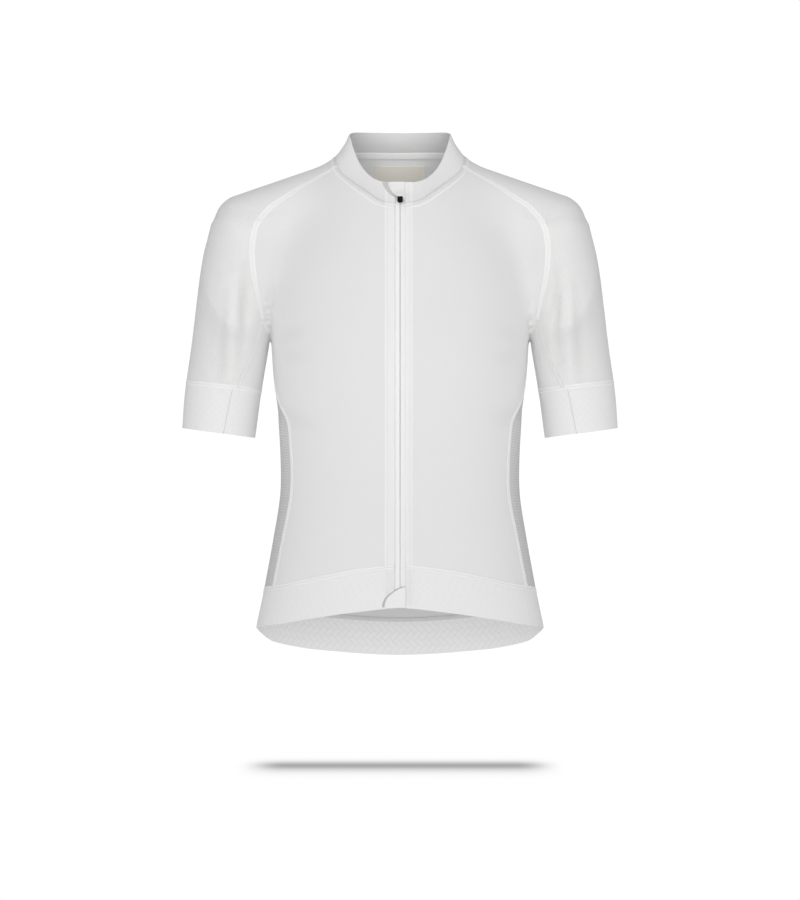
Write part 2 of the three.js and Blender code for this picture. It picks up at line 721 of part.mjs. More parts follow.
// The zip tape runs behind the collar, the front and the hem band, following their cells
function zipTapes() {
  const tapeTurns = [TAPE_START, ZIP_CHANNEL, TAPE_EDGE].map(neckTurnAt);
  const hemTapeTurns = [TAPE_START, ZIP_CHANNEL, TAPE_EDGE].map(hemTurnAt);
  const collarShares = [TAPE_END_SHARE, 2 / 3, 1 / 3];
  const collarRows = collarShares.map((share) => tapeTurns.map((turn) => collarPoint(turn, share)));
  const standing = collarShares.map((share) => tapeTurns.map((turn) => collarNormal(turn, share)));
  const frontRows = edgeLine.map((edge, row) => [centreLine[row], edge, tapeLine[row]]);
  const hemRows = [0.5, TAPE_END_SHARE].map((share) => hemTapeTurns.map((turn) => {
    const z = lerp(sample(HEM, 'turn', turn, 'seam'), sample(HEM, 'turn', turn, 'edge'), share);
    return onBody({ turn, z });
  }));
  const grid = [...collarRows, ...frontRows, ...hemRows];
  const bodyFacing = [...frontRows, ...hemRows].map((row) => row.map(formNormal));
  const facing = [...standing, ...bodyFacing];
  const lift = -(COLLAR_WALL + LAID_GAP);
  const options = { wall: TRIM_WALL, lift, gap: 0 };
  const left = cloth('zip_tape_left', materials.tape, grid, { ...options, normals: facing });
  const mirroredOptions = { ...options, normals: facing.map((row) => row.map(flipped)) };
  const right = cloth('zip_tape_right', materials.tape, mirroredGrid(grid), mirroredOptions);
  return [left, right];
}

// A narrow tape over the inside of the neck seam, from shoulder to shoulder across the back
function neckTape() {
  const turns = joined(shoulderTurns.slice(-NECK_TAPE.shoulderCells - 1), backTurns);
  const rim = whole(turns.map(neckPoint));
  const below = (depth) => rim.map((p, i) => {
    const along = rim[Math.min(i + 1, rim.length - 1)].clone().sub(rim[Math.max(i - 1, 0)]);
    const down = along.cross(formNormal(p)).normalize();
    return ontoForm(p.clone().addScaledVector(down, depth));
  });
  const grid = [below(NECK_TAPE.top), below(NECK_TAPE.bottom)];
  const lift = -(PANEL_WALL + NECK_TAPE.clear);
  return cloth('neck_tape', materials.tape, grid, { wall: TRIM_WALL, lift, gap: 0, symmetric: true });
}

function neckLabel() {
  const across = steps(LABEL.half, -LABEL.half, LABEL.cells);
  const levels = steps(LABEL.top, LABEL.bottom, LABEL.rows);
  const grid = levels.map((z) => across.map((x) => onBack({ x, z })));
  const lift = -(PANEL_WALL + LAID_GAP);
  return cloth('neck_label', materials.label, grid, { wall: TRIM_WALL, lift, gap: 0 });
}

// The rear pocket panel lies on the back, from its sixth row above the hem seam
function backPockets() {
  const grid = backGrid.slice(-POCKET_ROWS - 1);
  return cloth('back_pockets', materials.panel, grid, { lift: PANEL_WALL + LAID_GAP, symmetric: true });
}

// The flap at the collar, swollen where the slider lies under it
function zipGarage() {
  const grid = steps(0, 1, GARAGE_ROWS).map((share) => GARAGE.map(({ x, edge }) => {
    const rise = lerp(GARAGE_TOP, edge, share);
    return { turn: neckTurnAt(x), share: rise / COLLAR_HEIGHT, x, rise };
  }));
  const normals = grid.map((row) => row.map(({ turn, share }) => collarNormal(turn, share)));
  const points = grid.map((row, i) => row.map(({ turn, share, x, rise }, j) => {
    const { height, x: spread, up, rise: centre } = GARAGE_SWELL;
    const swell = height * Math.exp(-((x / spread) ** 2) - ((rise - centre) / up) ** 2);
    return collarPoint(turn, share).addScaledVector(normals[i][j], swell);
  }));
  const lift = TRIM_WALL + LAID_GAP;
  return cloth('zip_garage', materials.panel, points, { wall: TRIM_WALL, lift, normals, gap: 0 });
}

// The rounded flap at the hem
function zipGuard() {
  const grid = steps(0, 1, GUARD_ROWS).map((share) => GUARD.map(({ x, top }) => {
    const bottom = sample(HEM, 'turn', 0, 'edge');
    return onFront({ x, z: lerp(top, bottom, share) });
  }));
  const lift = TRIM_WALL + LAID_GAP;
  return cloth('zip_guard', materials.panel, grid, { wall: TRIM_WALL, lift, gap: 0 });
}

// Solids of the slider, joined and named
function solidFrom(geometry) {
  const plain = geometry.clone();
  plain.deleteAttribute('normal');
  plain.deleteAttribute('uv');
  const merged = mergeVertices(plain, 1e-4);
  const vertProperties = new Float32Array(merged.getAttribute('position').array);
  const triVerts = new Uint32Array(merged.getIndex().array);
  return new wasm.Manifold(new wasm.Mesh({ numProp: 3, vertProperties, triVerts }));
}

function meshFrom(name, material, solid) {
  const { vertProperties, triVerts } = solid.getMesh();
  const geometry = new THREE.BufferGeometry();
  geometry.setAttribute('position', new THREE.BufferAttribute(vertProperties, 3));
  geometry.setIndex(new THREE.BufferAttribute(triVerts, 1));
  geometry.computeVertexNormals();
  const mesh = new THREE.Mesh(geometry, material);
  mesh.name = name;
  return mesh;
}

function rectangle(path, left, right, bottom, top) {
  path.moveTo(left, bottom);
  path.lineTo(right, bottom);
  path.lineTo(right, top);
  path.lineTo(left, top);
  path.closePath();
  return path;
}

function zipSlider() {
  const width = 2 * SLIDER.half;
  const bodyHeight = SLIDER.top - SLIDER.bottom;
  const body = new THREE.BoxGeometry(width, SLIDER.face - SLIDER.back, bodyHeight);
  body.translate(0, -(SLIDER.face + SLIDER.back) / 2, (SLIDER.top + SLIDER.bottom) / 2);
  const foot = SLIDER.face - BRIDGE.sink;
  const side = rectangle(new THREE.Shape(), foot, BRIDGE.out, BRIDGE.bottom, BRIDGE.top);
  const bridge = new THREE.ExtrudeGeometry(side, { depth: 2 * BRIDGE.half, bevelEnabled: false });
  const slot = rectangle(new THREE.Shape(), foot - 1, WINDOW.out, WINDOW.bottom, WINDOW.top);
  const opening = new THREE.ExtrudeGeometry(slot, { depth: 4 * BRIDGE.half, bevelEnabled: false });
  // From (out, rise, along) to (across, -out, rise)
  const stand = new THREE.Matrix4().makeBasis(point(0, -1, 0), point(0, 0, 1), point(-1, 0, 0));
  bridge.applyMatrix4(stand).translate(BRIDGE.half, 0, 0);
  opening.applyMatrix4(stand).translate(2 * BRIDGE.half, 0, 0);
  const arch = solidFrom(bridge).subtract(solidFrom(opening));
  return meshFrom('zip_slider', materials.hardware, solidFrom(body).add(arch));
}

function zipPull() {
  const { half, pivotRise, pivotOut, thick, bar, bottom, round } = PULL;
  const top = pivotRise + bar / 2;
  const shape = new THREE.Shape();
  shape.moveTo(half, top);
  shape.lineTo(-half, top);
  shape.lineTo(-half, bottom + round);
  shape.absarc(-half + round, bottom + round, round, Math.PI, 1.5 * Math.PI);
  shape.absarc(half - round, bottom + round, round, 1.5 * Math.PI, 2 * Math.PI);
  shape.closePath();
  const hole = rectangle(new THREE.Path(), -PULL_HOLE.half, PULL_HOLE.half, PULL_HOLE.bottom, top - bar);
  shape.holes.push(hole);
  const options = { depth: thick, bevelEnabled: false, curveSegments: ROUND_CELLS };
  const flat = new THREE.ExtrudeGeometry(shape, options);
  flat.rotateX(Math.PI / 2);
  flat.translate(0, -(pivotOut - thick / 2), 0);
  return meshFrom('zip_pull', materials.hardware, solidFrom(flat));
}

// The slider's place: on the neck seam at the centre front, leaning back with the collar
function zipTop() {
  const foot = collarPoint(0, 0);
  const head = collarPoint(0, 1);
  const group = new THREE.Group();
  group.position.copy(foot);
  group.rotation.x = -Math.atan2(head.y - foot.y, head.z - foot.z);
  group.add(zipSlider(), zipPull());
  return group;
}

const collarOptions = { wall: COLLAR_WALL, normals: collarNormals, symmetric: true };
const jersey = new THREE.Group();
jersey.add(
  ...pair('front', materials.panel, frontGrid),
  cloth('back', materials.panel, backGrid, { symmetric: true }),
  ...pair('side', materials.mesh, sideGrid),
  ...pair('sleeve', materials.panel, sleeveGrid),
  ...pair('under_sleeve', materials.mesh, underGrid),
  ...pair('cuff', materials.band, cuffGrid, { wall: BAND_WALL, tube: true }),
  cloth('collar', materials.panel, collarGrid, collarOptions),
  cloth('hem_band', materials.band, hemGrid, { wall: BAND_WALL, symmetric: true }),
  neckTape(),
  neckLabel(),
  ...zipTapes(),
  zipGarage(),
  zipGuard(),
  backPockets(),
  zipTop(),
);

export default jersey;
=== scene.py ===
# %% [markdown]
# # A worn cycling jersey, made of its own cut pieces
# A race jersey is sewn from about twenty flat pieces of stretch knit: two fronts, a back, raglan
# sleeves, mesh sides and gussets, elastic bands and a standing collar. Stretched over a rider it takes
# one smooth form, and each piece keeps its own knit, its own edge and its own seams.
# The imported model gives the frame: every rigid stand-in is already at its place and size. This lesson
# makes the cloth itself as thin shells on the same form, then sews, zips and finishes it.

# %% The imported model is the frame
import math

import bmesh
import bpy
import numpy as np
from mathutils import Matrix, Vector


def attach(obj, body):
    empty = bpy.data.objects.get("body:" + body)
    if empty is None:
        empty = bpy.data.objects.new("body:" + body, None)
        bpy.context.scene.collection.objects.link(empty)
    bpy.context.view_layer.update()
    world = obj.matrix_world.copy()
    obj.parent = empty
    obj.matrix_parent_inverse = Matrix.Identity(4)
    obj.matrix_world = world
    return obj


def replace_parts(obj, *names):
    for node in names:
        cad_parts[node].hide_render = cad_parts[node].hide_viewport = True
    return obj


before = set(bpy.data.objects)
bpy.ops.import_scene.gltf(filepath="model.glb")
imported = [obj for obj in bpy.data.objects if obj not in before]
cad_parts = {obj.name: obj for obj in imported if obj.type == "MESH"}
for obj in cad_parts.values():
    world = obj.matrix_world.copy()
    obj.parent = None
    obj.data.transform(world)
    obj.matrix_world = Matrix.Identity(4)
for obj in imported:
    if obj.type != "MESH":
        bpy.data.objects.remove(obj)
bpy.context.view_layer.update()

# %% [markdown]
# ## The form under the cloth
# Knit that is stretched over a body is easiest to describe by the form that it lies on. Sizes are in
# millimetres here and become metres when a mesh is made. Each level of the torso is a soft oval, each
# sleeve is a tube, and a capsule joins them over the shoulder. A few levels with their sizes are enough,
# because the values between them are read off smooth curves.

# %% Tables with named columns, and smooth values between their rows
MM = 0.001


def table(names, *rows):
    return dict(zip(names.split(), np.array(rows, float).T))


def sample(rows, key, at, column):
    keys, values = rows[key], rows[column]
    last = len(keys) - 1
    before = np.maximum(np.arange(last + 1) - 1, 0)
    after = np.minimum(np.arange(last + 1) + 1, last)
    slopes = (values[after] - values[before]) / (keys[after] - keys[before])
    i = np.clip(np.searchsorted(keys, at, side="right") - 1, 0, last - 1)
    span = keys[i + 1] - keys[i]
    t = np.clip((at - keys[i]) / span, 0, 1)
    held = (1 + 2 * t) * (1 - t) ** 2 * values[i] + t * t * (3 - 2 * t) * values[i + 1]
    return held + span * (t * (1 - t) ** 2 * slopes[i] - t * t * (1 - t) * slopes[i + 1])


TORSO = table(
    "z half front back",
    (-600, 184, 112, 120),
    (-548, 172.5, 106, 113),
    (-500, 162.5, 100, 104),
    (-440, 151.5, 92, 92),
    (-390, 143.8, 87, 84),
    (-350, 143.2, 87, 81),
    (-300, 146, 92, 84),
    (-260, 150, 100, 89),
    (-215, 153.6, 107, 94),
    (-170, 155, 105, 98),
    (-120, 148, 98, 100),
    (-80, 128, 89, 96),
    (-48, 103, 80, 88),
    (-20, 82, 71, 77),
    (5, 72, 62, 67),
    (28, 66, 55, 58.5),
    (60, 58, 50, 50),
)
ARM = table(
    "z middle half depth",
    (-360, 223, 43, 47),
    (-316, 217.7, 44.4, 48),
    (-269, 212.8, 45.8, 49),
    (-211, 204, 46.5, 50.5),
    (-182, 200.5, 46.5, 51),
    (-125, 193, 47, 52),
    (-95, 188, 46.5, 51.5),
    (-80, 184, 45.5, 50),
    (-60, 176, 43, 48),
)
JOIN = table(
    "z reach", (-260, 5), (-200, 5), (-150, 26), (-110, 44), (-50, 42), (-15, 34), (10, 30), (60, 14)
)
print("waist", sample(TORSO, "z", -360.0, "half") * 2, "mm across")

# %% How far a point lies from the form
TORSO_SQUARENESS = 2.15
ARM_Y = 5
ARM_TOP = -70
ARM_BLEND = 18
SHOULDER = table("x z radius depth", (47, -21, 40, 46), (187, -65, 36, 49))


def oval(across, along, half, depth, squareness):
    x = np.maximum(np.abs(across), 0.001)
    y = np.abs(along)
    share = ((x / half) ** squareness + (y / depth) ** squareness) ** (1 / squareness)
    return np.hypot(x, y) * (1 - 1 / share)


def soft_union(a, b, reach):
    overlap = np.maximum(reach - np.abs(a - b), 0) / reach
    return np.minimum(a, b) - overlap * overlap * reach / 4


def shoulder(x, y, z):
    """A capsule from beside the neck to the top of the arm, deeper than it is high."""
    run = {key: end - start for key, (start, end) in SHOULDER.items()}
    off_x, off_z = x - SHOULDER["x"][0], z - SHOULDER["z"][0]
    along = np.clip((off_x * run["x"] + off_z * run["z"]) / (run["x"] ** 2 + run["z"] ** 2), 0, 1)
    radius = SHOULDER["radius"][0] + along * run["radius"]
    depth = SHOULDER["depth"][0] + along * run["depth"]
    out = np.hypot(off_x - along * run["x"], off_z - along * run["z"])
    return np.hypot(out, (y - ARM_Y) * radius / depth) - radius


def form(p):
    x, y, z = np.abs(p[..., 0]), p[..., 1], p[..., 2]
    depth = np.where(y < 0, sample(TORSO, "z", z, "front"), sample(TORSO, "z", z, "back"))
    torso = oval(x, y, sample(TORSO, "z", z, "half"), depth, TORSO_SQUARENESS)
    middle = sample(ARM, "z", z, "middle")
    tube = oval(x - middle, y - ARM_Y, sample(ARM, "z", z, "half"), sample(ARM, "z", z, "depth"), 2)
    sleeve = soft_union(shoulder(x, y, z), np.maximum(tube, z - ARM_TOP), ARM_BLEND)
    return soft_union(torso, sleeve, sample(JOIN, "z", z, "reach"))


print("the middle of the chest is", float(form(np.array([0.0, 0.0, -200.0]))), "mm inside the form")

# %% Onto the form: along its slope, or along a straight line
PROBE = 0.2
LONGEST_MOVE = 12
SETTLING_PASSES = 7
MARCH = 1.5
REACH = 260
HALVINGS = 20
OUTSIDE_Y = 200
BELOW_ARMPIT = -300


def unit(v):
    return v / np.linalg.norm(v, axis=-1, keepdims=True)


def slope(p):
    return np.stack([(form(p + step) - form(p - step)) / (2 * PROBE) for step in PROBE * np.eye(3)], -1)


def facing(p):
    return unit(slope(p))


def onto_form(p):
    q = np.array(p, float)
    for _ in range(SETTLING_PASSES):
        s = slope(q)
        move = np.clip(-form(q) / (s * s).sum(-1), -LONGEST_MOVE, LONGEST_MOVE)
        q += s * move[..., None]
    return q


def crossing(start, direction):
    start, direction = np.broadcast_arrays(np.asarray(start, float), np.asarray(direction, float))
    outside = form(start) > 0
    far = np.full(start.shape[:-1], MARCH)
    for _ in range(int(REACH / MARCH)):
        waiting = (form(start + far[..., None] * direction) > 0) == outside
        if not waiting.any():
            break
        far = far + MARCH * waiting
    near = far - MARCH
    for _ in range(HALVINGS):
        middle = (near + far) / 2
        same = (form(start + middle[..., None] * direction) > 0) == outside
        near = np.where(same, middle, near)
        far = np.where(same, far, middle)
    return start + far[..., None] * direction


def points(x, y, z):
    return np.stack(np.broadcast_arrays(*(np.asarray(value, float) for value in (x, y, z))), -1)


def on_front(x, z):
    return crossing(points(x, -OUTSIDE_Y, z), (0, 1, 0))


def on_back(x, z):
    return crossing(points(x, OUTSIDE_Y, z), (0, -1, 0))


def heading(turn):
    angle = np.radians(turn)
    return points(np.sin(angle), -np.cos(angle), 0)


def on_body(turn, z):
    return crossing(points(0, 0, z) + 0 * heading(turn), heading(turn))


print("the chest reaches", on_front(0, -215), "and the back", on_back(0, -215))

# %% [markdown]
# ## Seams
# A pattern cutter draws seams first, because two pieces share each one. Every seam here is a smooth
# curve through a few points on the form, read at even lengths. The raglan seam runs from the neck over
# the front of the shoulder to the armpit, the arm seams run from there to the cuff, and the side seams
# run down to the hem band. Only one half is drawn, because the jersey's cut is the same on both sides.

# %% The points that each seam passes through
RAGLAN_FRONT = table(
    "x z", (94, -10.5), (120, -25.5), (138.5, -38), (156, -51), (168, -66.5), (174, -88), (174.5, -110),
    (171.5, -137), (166.5, -162),
)
RAGLAN_BACK = table("x z", (84, 10), (110, -8), (133, -28), (151, -52), (161, -80), (165, -110), (166, -140))
ARM_SEAM_FRONT = table("x z", (166, -195), (170, -209), (174.5, -223), (182.5, -241), (189, -254))
ARM_SEAM_BACK = table("x z", (168, -190), (172, -206), (178, -223), (184, -240), (189, -253))
SIDE_FRONT = table(
    "z turn", (-222, 91), (-245, 88.5), (-276, 81.4), (-304, 72.8), (-331, 71.8), (-385, 71.9), (-441, 73.5)
)
SIDE_BACK = table(
    "z turn", (-215, 103), (-260, 105), (-304, 107), (-358, 108.4), (-413, 107.7), (-468, 106.5)
)
NECK = table(
    "turn seam top",
    (0, -48.7, -21),
    (20, -44, -20),
    (34, -33, -13.5),
    (48, -21.5, -0.5),
    (62, -9, 18.5),
    (75, 5, 34),
    (90, 15.5, 41),
    (105, 20.6, 45.5),
    (120, 24, 48),
    (150, 27, 50.3),
    (180, 27.5, 51),
)
HEM = table(
    "turn seam edge",
    (0, -471, -519),
    (12, -473, -521),
    (34, -479, -526.5),
    (53, -488, -534),
    (67, -496, -541),
    (90, -504.5, -549),
    (100, -512, -557),
    (112, -526, -571),
    (136, -540, -584.3),
    (180, -547, -591.7),
    (224, -540, -584.3),
)
ARM_START_FRONT = on_front(163.5, -181)
ARM_START_BACK = on_back(164.5, -172)
ARMPIT_FRONT = on_front(157.5, -196)
ARMPIT_SIDE = on_back(157, -197)
SIDE_START_FRONT = crossing(points(156, 6, BELOW_ARMPIT), (0, 0, 1))
SIDE_START_BACK = on_back(160, -187)
print("the armpit lies at", SIDE_START_FRONT.round(1))

# %% Seam points: cells between them, then finer lines between the cells
FINE = 4
CELLS = {
    "front": 12, "back": 12, "shoulder": 14, "raglan": 10, "armhole": 3, "side": 12, "flank": 6, "arm": 8
}
RAGLAN_FRONT_TURN = 71
RAGLAN_BACK_TURN = 128
SIDE_FRONT_HEM = 74.4
SIDE_BACK_HEM = 106
NECK_CENTRE_Y = -10
NECK_HALF = 75
SPLINE_STEPS = 24


def steps(start, end, cells, fine=FINE):
    return np.linspace(start, end, cells * fine + 1)


def joined(*lists):
    return np.concatenate([part if i == 0 else part[1:] for i, part in enumerate(lists)])


def along(path, shares):
    """A path of points, read at shares of its length."""
    lengths = np.concatenate([[0], np.cumsum(np.linalg.norm(np.diff(path, axis=0), axis=1))])
    return np.stack([np.interp(shares * lengths[-1], lengths, path[:, k]) for k in range(3)], -1)


def spline(knots):
    """A smooth centripetal curve through a few points."""
    p = np.vstack([2 * knots[0] - knots[1], knots, 2 * knots[-1] - knots[-2]])
    gap = np.sqrt(np.linalg.norm(np.diff(p, axis=0), axis=1))[:, None]
    rate = np.diff(p, axis=0) / gap
    lean = rate[:-1] + rate[1:] - (p[2:] - p[:-2]) / (gap[:-1] + gap[1:])
    t = np.linspace(0, 1, SPLINE_STEPS, endpoint=False)[:, None]
    runs = []
    for i in range(len(knots) - 1):
        span = gap[i + 1]
        held = (1 + 2 * t) * (1 - t) ** 2 * knots[i] + t * t * (3 - 2 * t) * knots[i + 1]
        runs.append(held + span * (t * (1 - t) ** 2 * lean[i] - t * t * (1 - t) * lean[i + 1]))
    return np.vstack([*runs, knots[-1:]])


def seam(knots, cells):
    knots = np.vstack(knots)
    curve = onto_form(along(spline(knots), steps(0, 1, cells)))
    curve[0], curve[-1] = knots[0], knots[-1]
    return curve


def neck_point(turn):
    aim = heading(turn)
    return crossing(points(0, NECK_CENTRE_Y, sample(NECK, "turn", turn, "seam")) + 0 * aim, aim)


def hem_point(turn, share):
    level = (1 - share) * sample(HEM, "turn", turn, "seam") + share * sample(HEM, "turn", turn, "edge")
    return on_body(turn, level)


CUFF = {"seam": -260.0, "edge": -315.8, "slope": 0.12, "edge_slope": 0.135}
CUFF_SEAM_TURN = 113.7


def cuff_point(turn, share):
    across = np.cos(np.radians(turn))
    level = CUFF["seam"] + share * (CUFF["edge"] - CUFF["seam"])
    half = sample(ARM, "z", level, "half")
    lean = CUFF["slope"] + share * (CUFF["edge_slope"] - CUFF["slope"])
    z = level + lean * half * across
    return crossing(points(sample(ARM, "z", level, "middle"), ARM_Y, z), heading(90 - turn))


cuff_front = cuff_point(CUFF_SEAM_TURN, 0)
cuff_back = cuff_point(-CUFF_SEAM_TURN, 0)
neck_front = neck_point(RAGLAN_FRONT_TURN)
neck_back = neck_point(RAGLAN_BACK_TURN)
raglan_front = seam([neck_front, on_front(**RAGLAN_FRONT), ARM_START_FRONT], CELLS["raglan"])
raglan_back = seam([neck_back, on_back(**RAGLAN_BACK), ARM_START_BACK], CELLS["raglan"])
armhole_front = seam([ARM_START_FRONT, ARMPIT_FRONT, SIDE_START_FRONT], CELLS["armhole"])
armhole_side = seam([SIDE_START_FRONT, ARMPIT_SIDE, SIDE_START_BACK], CELLS["flank"])
armhole_back = seam([SIDE_START_BACK, ARM_START_BACK], CELLS["armhole"])
arm_front = seam([ARM_START_FRONT, on_front(**ARM_SEAM_FRONT), cuff_front], CELLS["arm"])
arm_back = seam([ARM_START_BACK, on_back(**ARM_SEAM_BACK), cuff_back], CELLS["arm"])
side_front = seam([SIDE_START_FRONT, on_body(**SIDE_FRONT), hem_point(SIDE_FRONT_HEM, 0)], CELLS["side"])
side_back = seam([SIDE_START_BACK, on_body(**SIDE_BACK), hem_point(SIDE_BACK_HEM, 0)], CELLS["side"])
print("the front raglan seam has", len(raglan_front), "points")

# %% [markdown]
# ## Panels
# A piece between four seams is laid out as a grid: its rows and columns blend from one seam to the
# opposite one, and every point is then moved onto the form. The sleeve wraps too far round the arm for
# that, so its rows are cast from the middle of the arm instead, from the front seam over the crest to
# the back seam.

# %% A grid between four seams
def panel(top, bottom, left, right):
    down = np.linspace(0, 1, len(left))[:, None, None]
    across = np.linspace(0, 1, len(top))[None, :, None]
    between = (1 - across) * left[:, None] + across * right[:, None]
    hung = (1 - down) * top[None] + down * bottom[None]
    top_chord = (1 - across) * top[0] + across * top[-1]
    bottom_chord = (1 - across) * bottom[0] + across * bottom[-1]
    grid = between + hung - (1 - down) * top_chord - down * bottom_chord
    grid[1:-1, 1:-1] = onto_form(grid[1:-1, 1:-1])
    return grid


def mirrored(grid):
    return grid * (-1, 1, 1)


def whole(half):
    """Half a row of points up to the middle of the jersey, and its mirror image beyond."""
    return joined(half, mirrored(half)[::-1])


# %% The fronts, the back, the sides and the gussets under the arms
ZIP_CHANNEL = 6
TAPE_EDGE = 16
hem_front_depth = sample(TORSO, "z", HEM["seam"][0], "front")


def neck_turn(x):
    return np.degrees(np.arcsin(x / NECK_HALF))


def hem_turn(x):
    return np.degrees(np.arctan(x / hem_front_depth))


front_turns = steps(neck_turn(TAPE_EDGE), RAGLAN_FRONT_TURN, CELLS["front"])
shoulder_turns = steps(RAGLAN_FRONT_TURN, RAGLAN_BACK_TURN, CELLS["shoulder"])
back_turns = steps(RAGLAN_BACK_TURN, 180, CELLS["back"])
hem_front_turns = steps(hem_turn(TAPE_EDGE), SIDE_FRONT_HEM, CELLS["front"])
hem_flank_turns = steps(SIDE_FRONT_HEM, SIDE_BACK_HEM, CELLS["flank"])
hem_back_turns = steps(SIDE_BACK_HEM, 180, CELLS["back"])
front_side = joined(raglan_front, armhole_front, side_front)
back_side = joined(raglan_back, armhole_back[::-1], side_back)


def front_line(x):
    """A line down the front at a distance from the zip, its points spaced as those of the side seam are."""
    top = neck_point(neck_turn(x))[2]
    bottom = hem_point(hem_turn(x), 0)[2]
    down = (front_side[:, 2] - front_side[0, 2]) / (front_side[-1, 2] - front_side[0, 2])
    return on_front(x, top + down * (bottom - top))


zip_lines = [front_line(x) for x in steps(ZIP_CHANNEL, TAPE_EDGE, 1)]
zip_lines[-1][0] = neck_point(front_turns[0])
zip_lines[-1][-1] = hem_point(hem_front_turns[0], 0)
front_grid = panel(neck_point(front_turns), hem_point(hem_front_turns, 0), zip_lines[-1], front_side)
front_grid = np.concatenate([np.stack(zip_lines[:-1], 1), front_grid], 1)
back_top, back_foot = whole(neck_point(back_turns)), whole(hem_point(hem_back_turns, 0))
back_grid = panel(back_top, back_foot, back_side, mirrored(back_side))
side_grid = panel(armhole_side, hem_point(hem_flank_turns, 0), side_front, side_back)
cuff_over_turns = steps(CUFF_SEAM_TURN, -CUFF_SEAM_TURN, CELLS["shoulder"])
cuff_under_turns = steps(CUFF_SEAM_TURN, 360 - CUFF_SEAM_TURN, CELLS["armhole"] * 2 + CELLS["flank"])
armhole_under = joined(armhole_front, armhole_side, armhole_back)
under_grid = panel(armhole_under, cuff_point(cuff_under_turns, 0), arm_front, arm_back)
print("front", front_grid.shape[:2], "back", back_grid.shape[:2], "gusset", under_grid.shape[:2])
print("the rows beside the zip drop by", (-np.diff(front_grid[:, 0, 2])).min().round(3), "mm or more")

# %% The sleeves, cast from the middle of the arm
SLEEVE_CREST = table(
    "x z", (75, 17), (110, 0), (137, -10), (165, -19), (193, -30), (213, -42), (225, -60), (232, -85),
    (240, -130), (247, -185), (254, -235), (257.5, -254),
)
SLEEVE_CORE = table(
    "x z", (58, -12), (85, -30), (115, -45), (145, -60), (168, -75), (184, -100), (194, -140), (203, -190),
    (210, -235), (212, -257),
)


def turned(start, end, share):
    angle = np.arccos(np.clip((start * end).sum(-1, keepdims=True), -1, 1))
    return (np.sin((1 - share) * angle) * start + np.sin(share * angle) * end) / np.sin(angle)


def sleeve_panel(front, back, top, bottom):
    shares = np.linspace(0, 1, len(front))
    crest = along(spline(points(SLEEVE_CREST["x"], ARM_Y, SLEEVE_CREST["z"])), shares)
    core = along(spline(points(SLEEVE_CORE["x"], ARM_Y, SLEEVE_CORE["z"])), shares)
    to_front, to_crest, to_back = unit(front - core), unit(crest - core), unit(back - core)
    share = np.linspace(0, 1, len(top))[None, :, None]
    fore = turned(to_front[:, None], to_crest[:, None], share * 2)
    aft = turned(to_crest[:, None], to_back[:, None], share * 2 - 1)
    aim = unit(np.where(share < 0.5, fore, aft))
    grid = crossing(core[:, None] + 0 * aim, aim)
    grid[:, 0], grid[:, -1], grid[0], grid[-1] = front, back, top, bottom
    return grid


sleeve_sides = [joined(raglan_front, arm_front), joined(raglan_back, arm_back)]
sleeve_grid = sleeve_panel(*sleeve_sides, neck_point(shoulder_turns), cuff_point(cuff_over_turns, 0))
print("sleeve", sleeve_grid.shape[:2])

# %% The cuffs, the hem band and the collar
COLLAR_TOP = {"centre_y": -9, "half": 61, "depth": 57}
COLLAR_WAIST = 1.6
BAND_ROWS = 14


def collar_point(turn, share):
    share = np.asarray(share, float)[..., None]
    aim = heading(turn)
    foot = neck_point(turn)
    top = aim * (COLLAR_TOP["half"], COLLAR_TOP["depth"], 0) + (0, COLLAR_TOP["centre_y"], 0)
    top[..., 2] = sample(NECK, "turn", turn, "top")
    waist = COLLAR_WAIST * np.sin(math.pi * share)
    return foot + (top - foot) * share - waist * aim


def collar_facing(turn, share):
    low = np.maximum(share - 0.1, 0)
    up = collar_point(turn, low + 0.1) - collar_point(turn, low)
    across = collar_point(turn + 1, share) - collar_point(turn - 1, share)
    return unit(np.cross(across, up))


channel_turns = [neck_turn(x) for x in steps(ZIP_CHANNEL, TAPE_EDGE, 1)]
neck_turns = joined(channel_turns, front_turns, shoulder_turns, back_turns)
shares = np.linspace(0, 1, BAND_ROWS + 1)
collar_grid = np.stack([whole(collar_point(neck_turns, share)) for share in shares])
collar_out = np.stack([collar_facing(neck_turns, share) for share in shares])
collar_out[0] = facing(neck_point(neck_turns))
collar_out = np.concatenate([collar_out, mirrored(collar_out[:, -2::-1])], 1)
channel_hem_turns = [hem_turn(x) for x in steps(ZIP_CHANNEL, TAPE_EDGE, 1)]
hem_turns = joined(channel_hem_turns, hem_front_turns, hem_flank_turns, hem_back_turns)
hem_grid = np.stack([whole(hem_point(hem_turns, share)) for share in shares])
cuff_turns = joined(cuff_over_turns[::-1], cuff_under_turns)[:-1]
cuff_grid = np.stack([cuff_point(cuff_turns, share) for share in shares])
print("collar", collar_grid.shape[:2], "hem band", hem_grid.shape[:2], "cuff", cuff_grid.shape[:2])
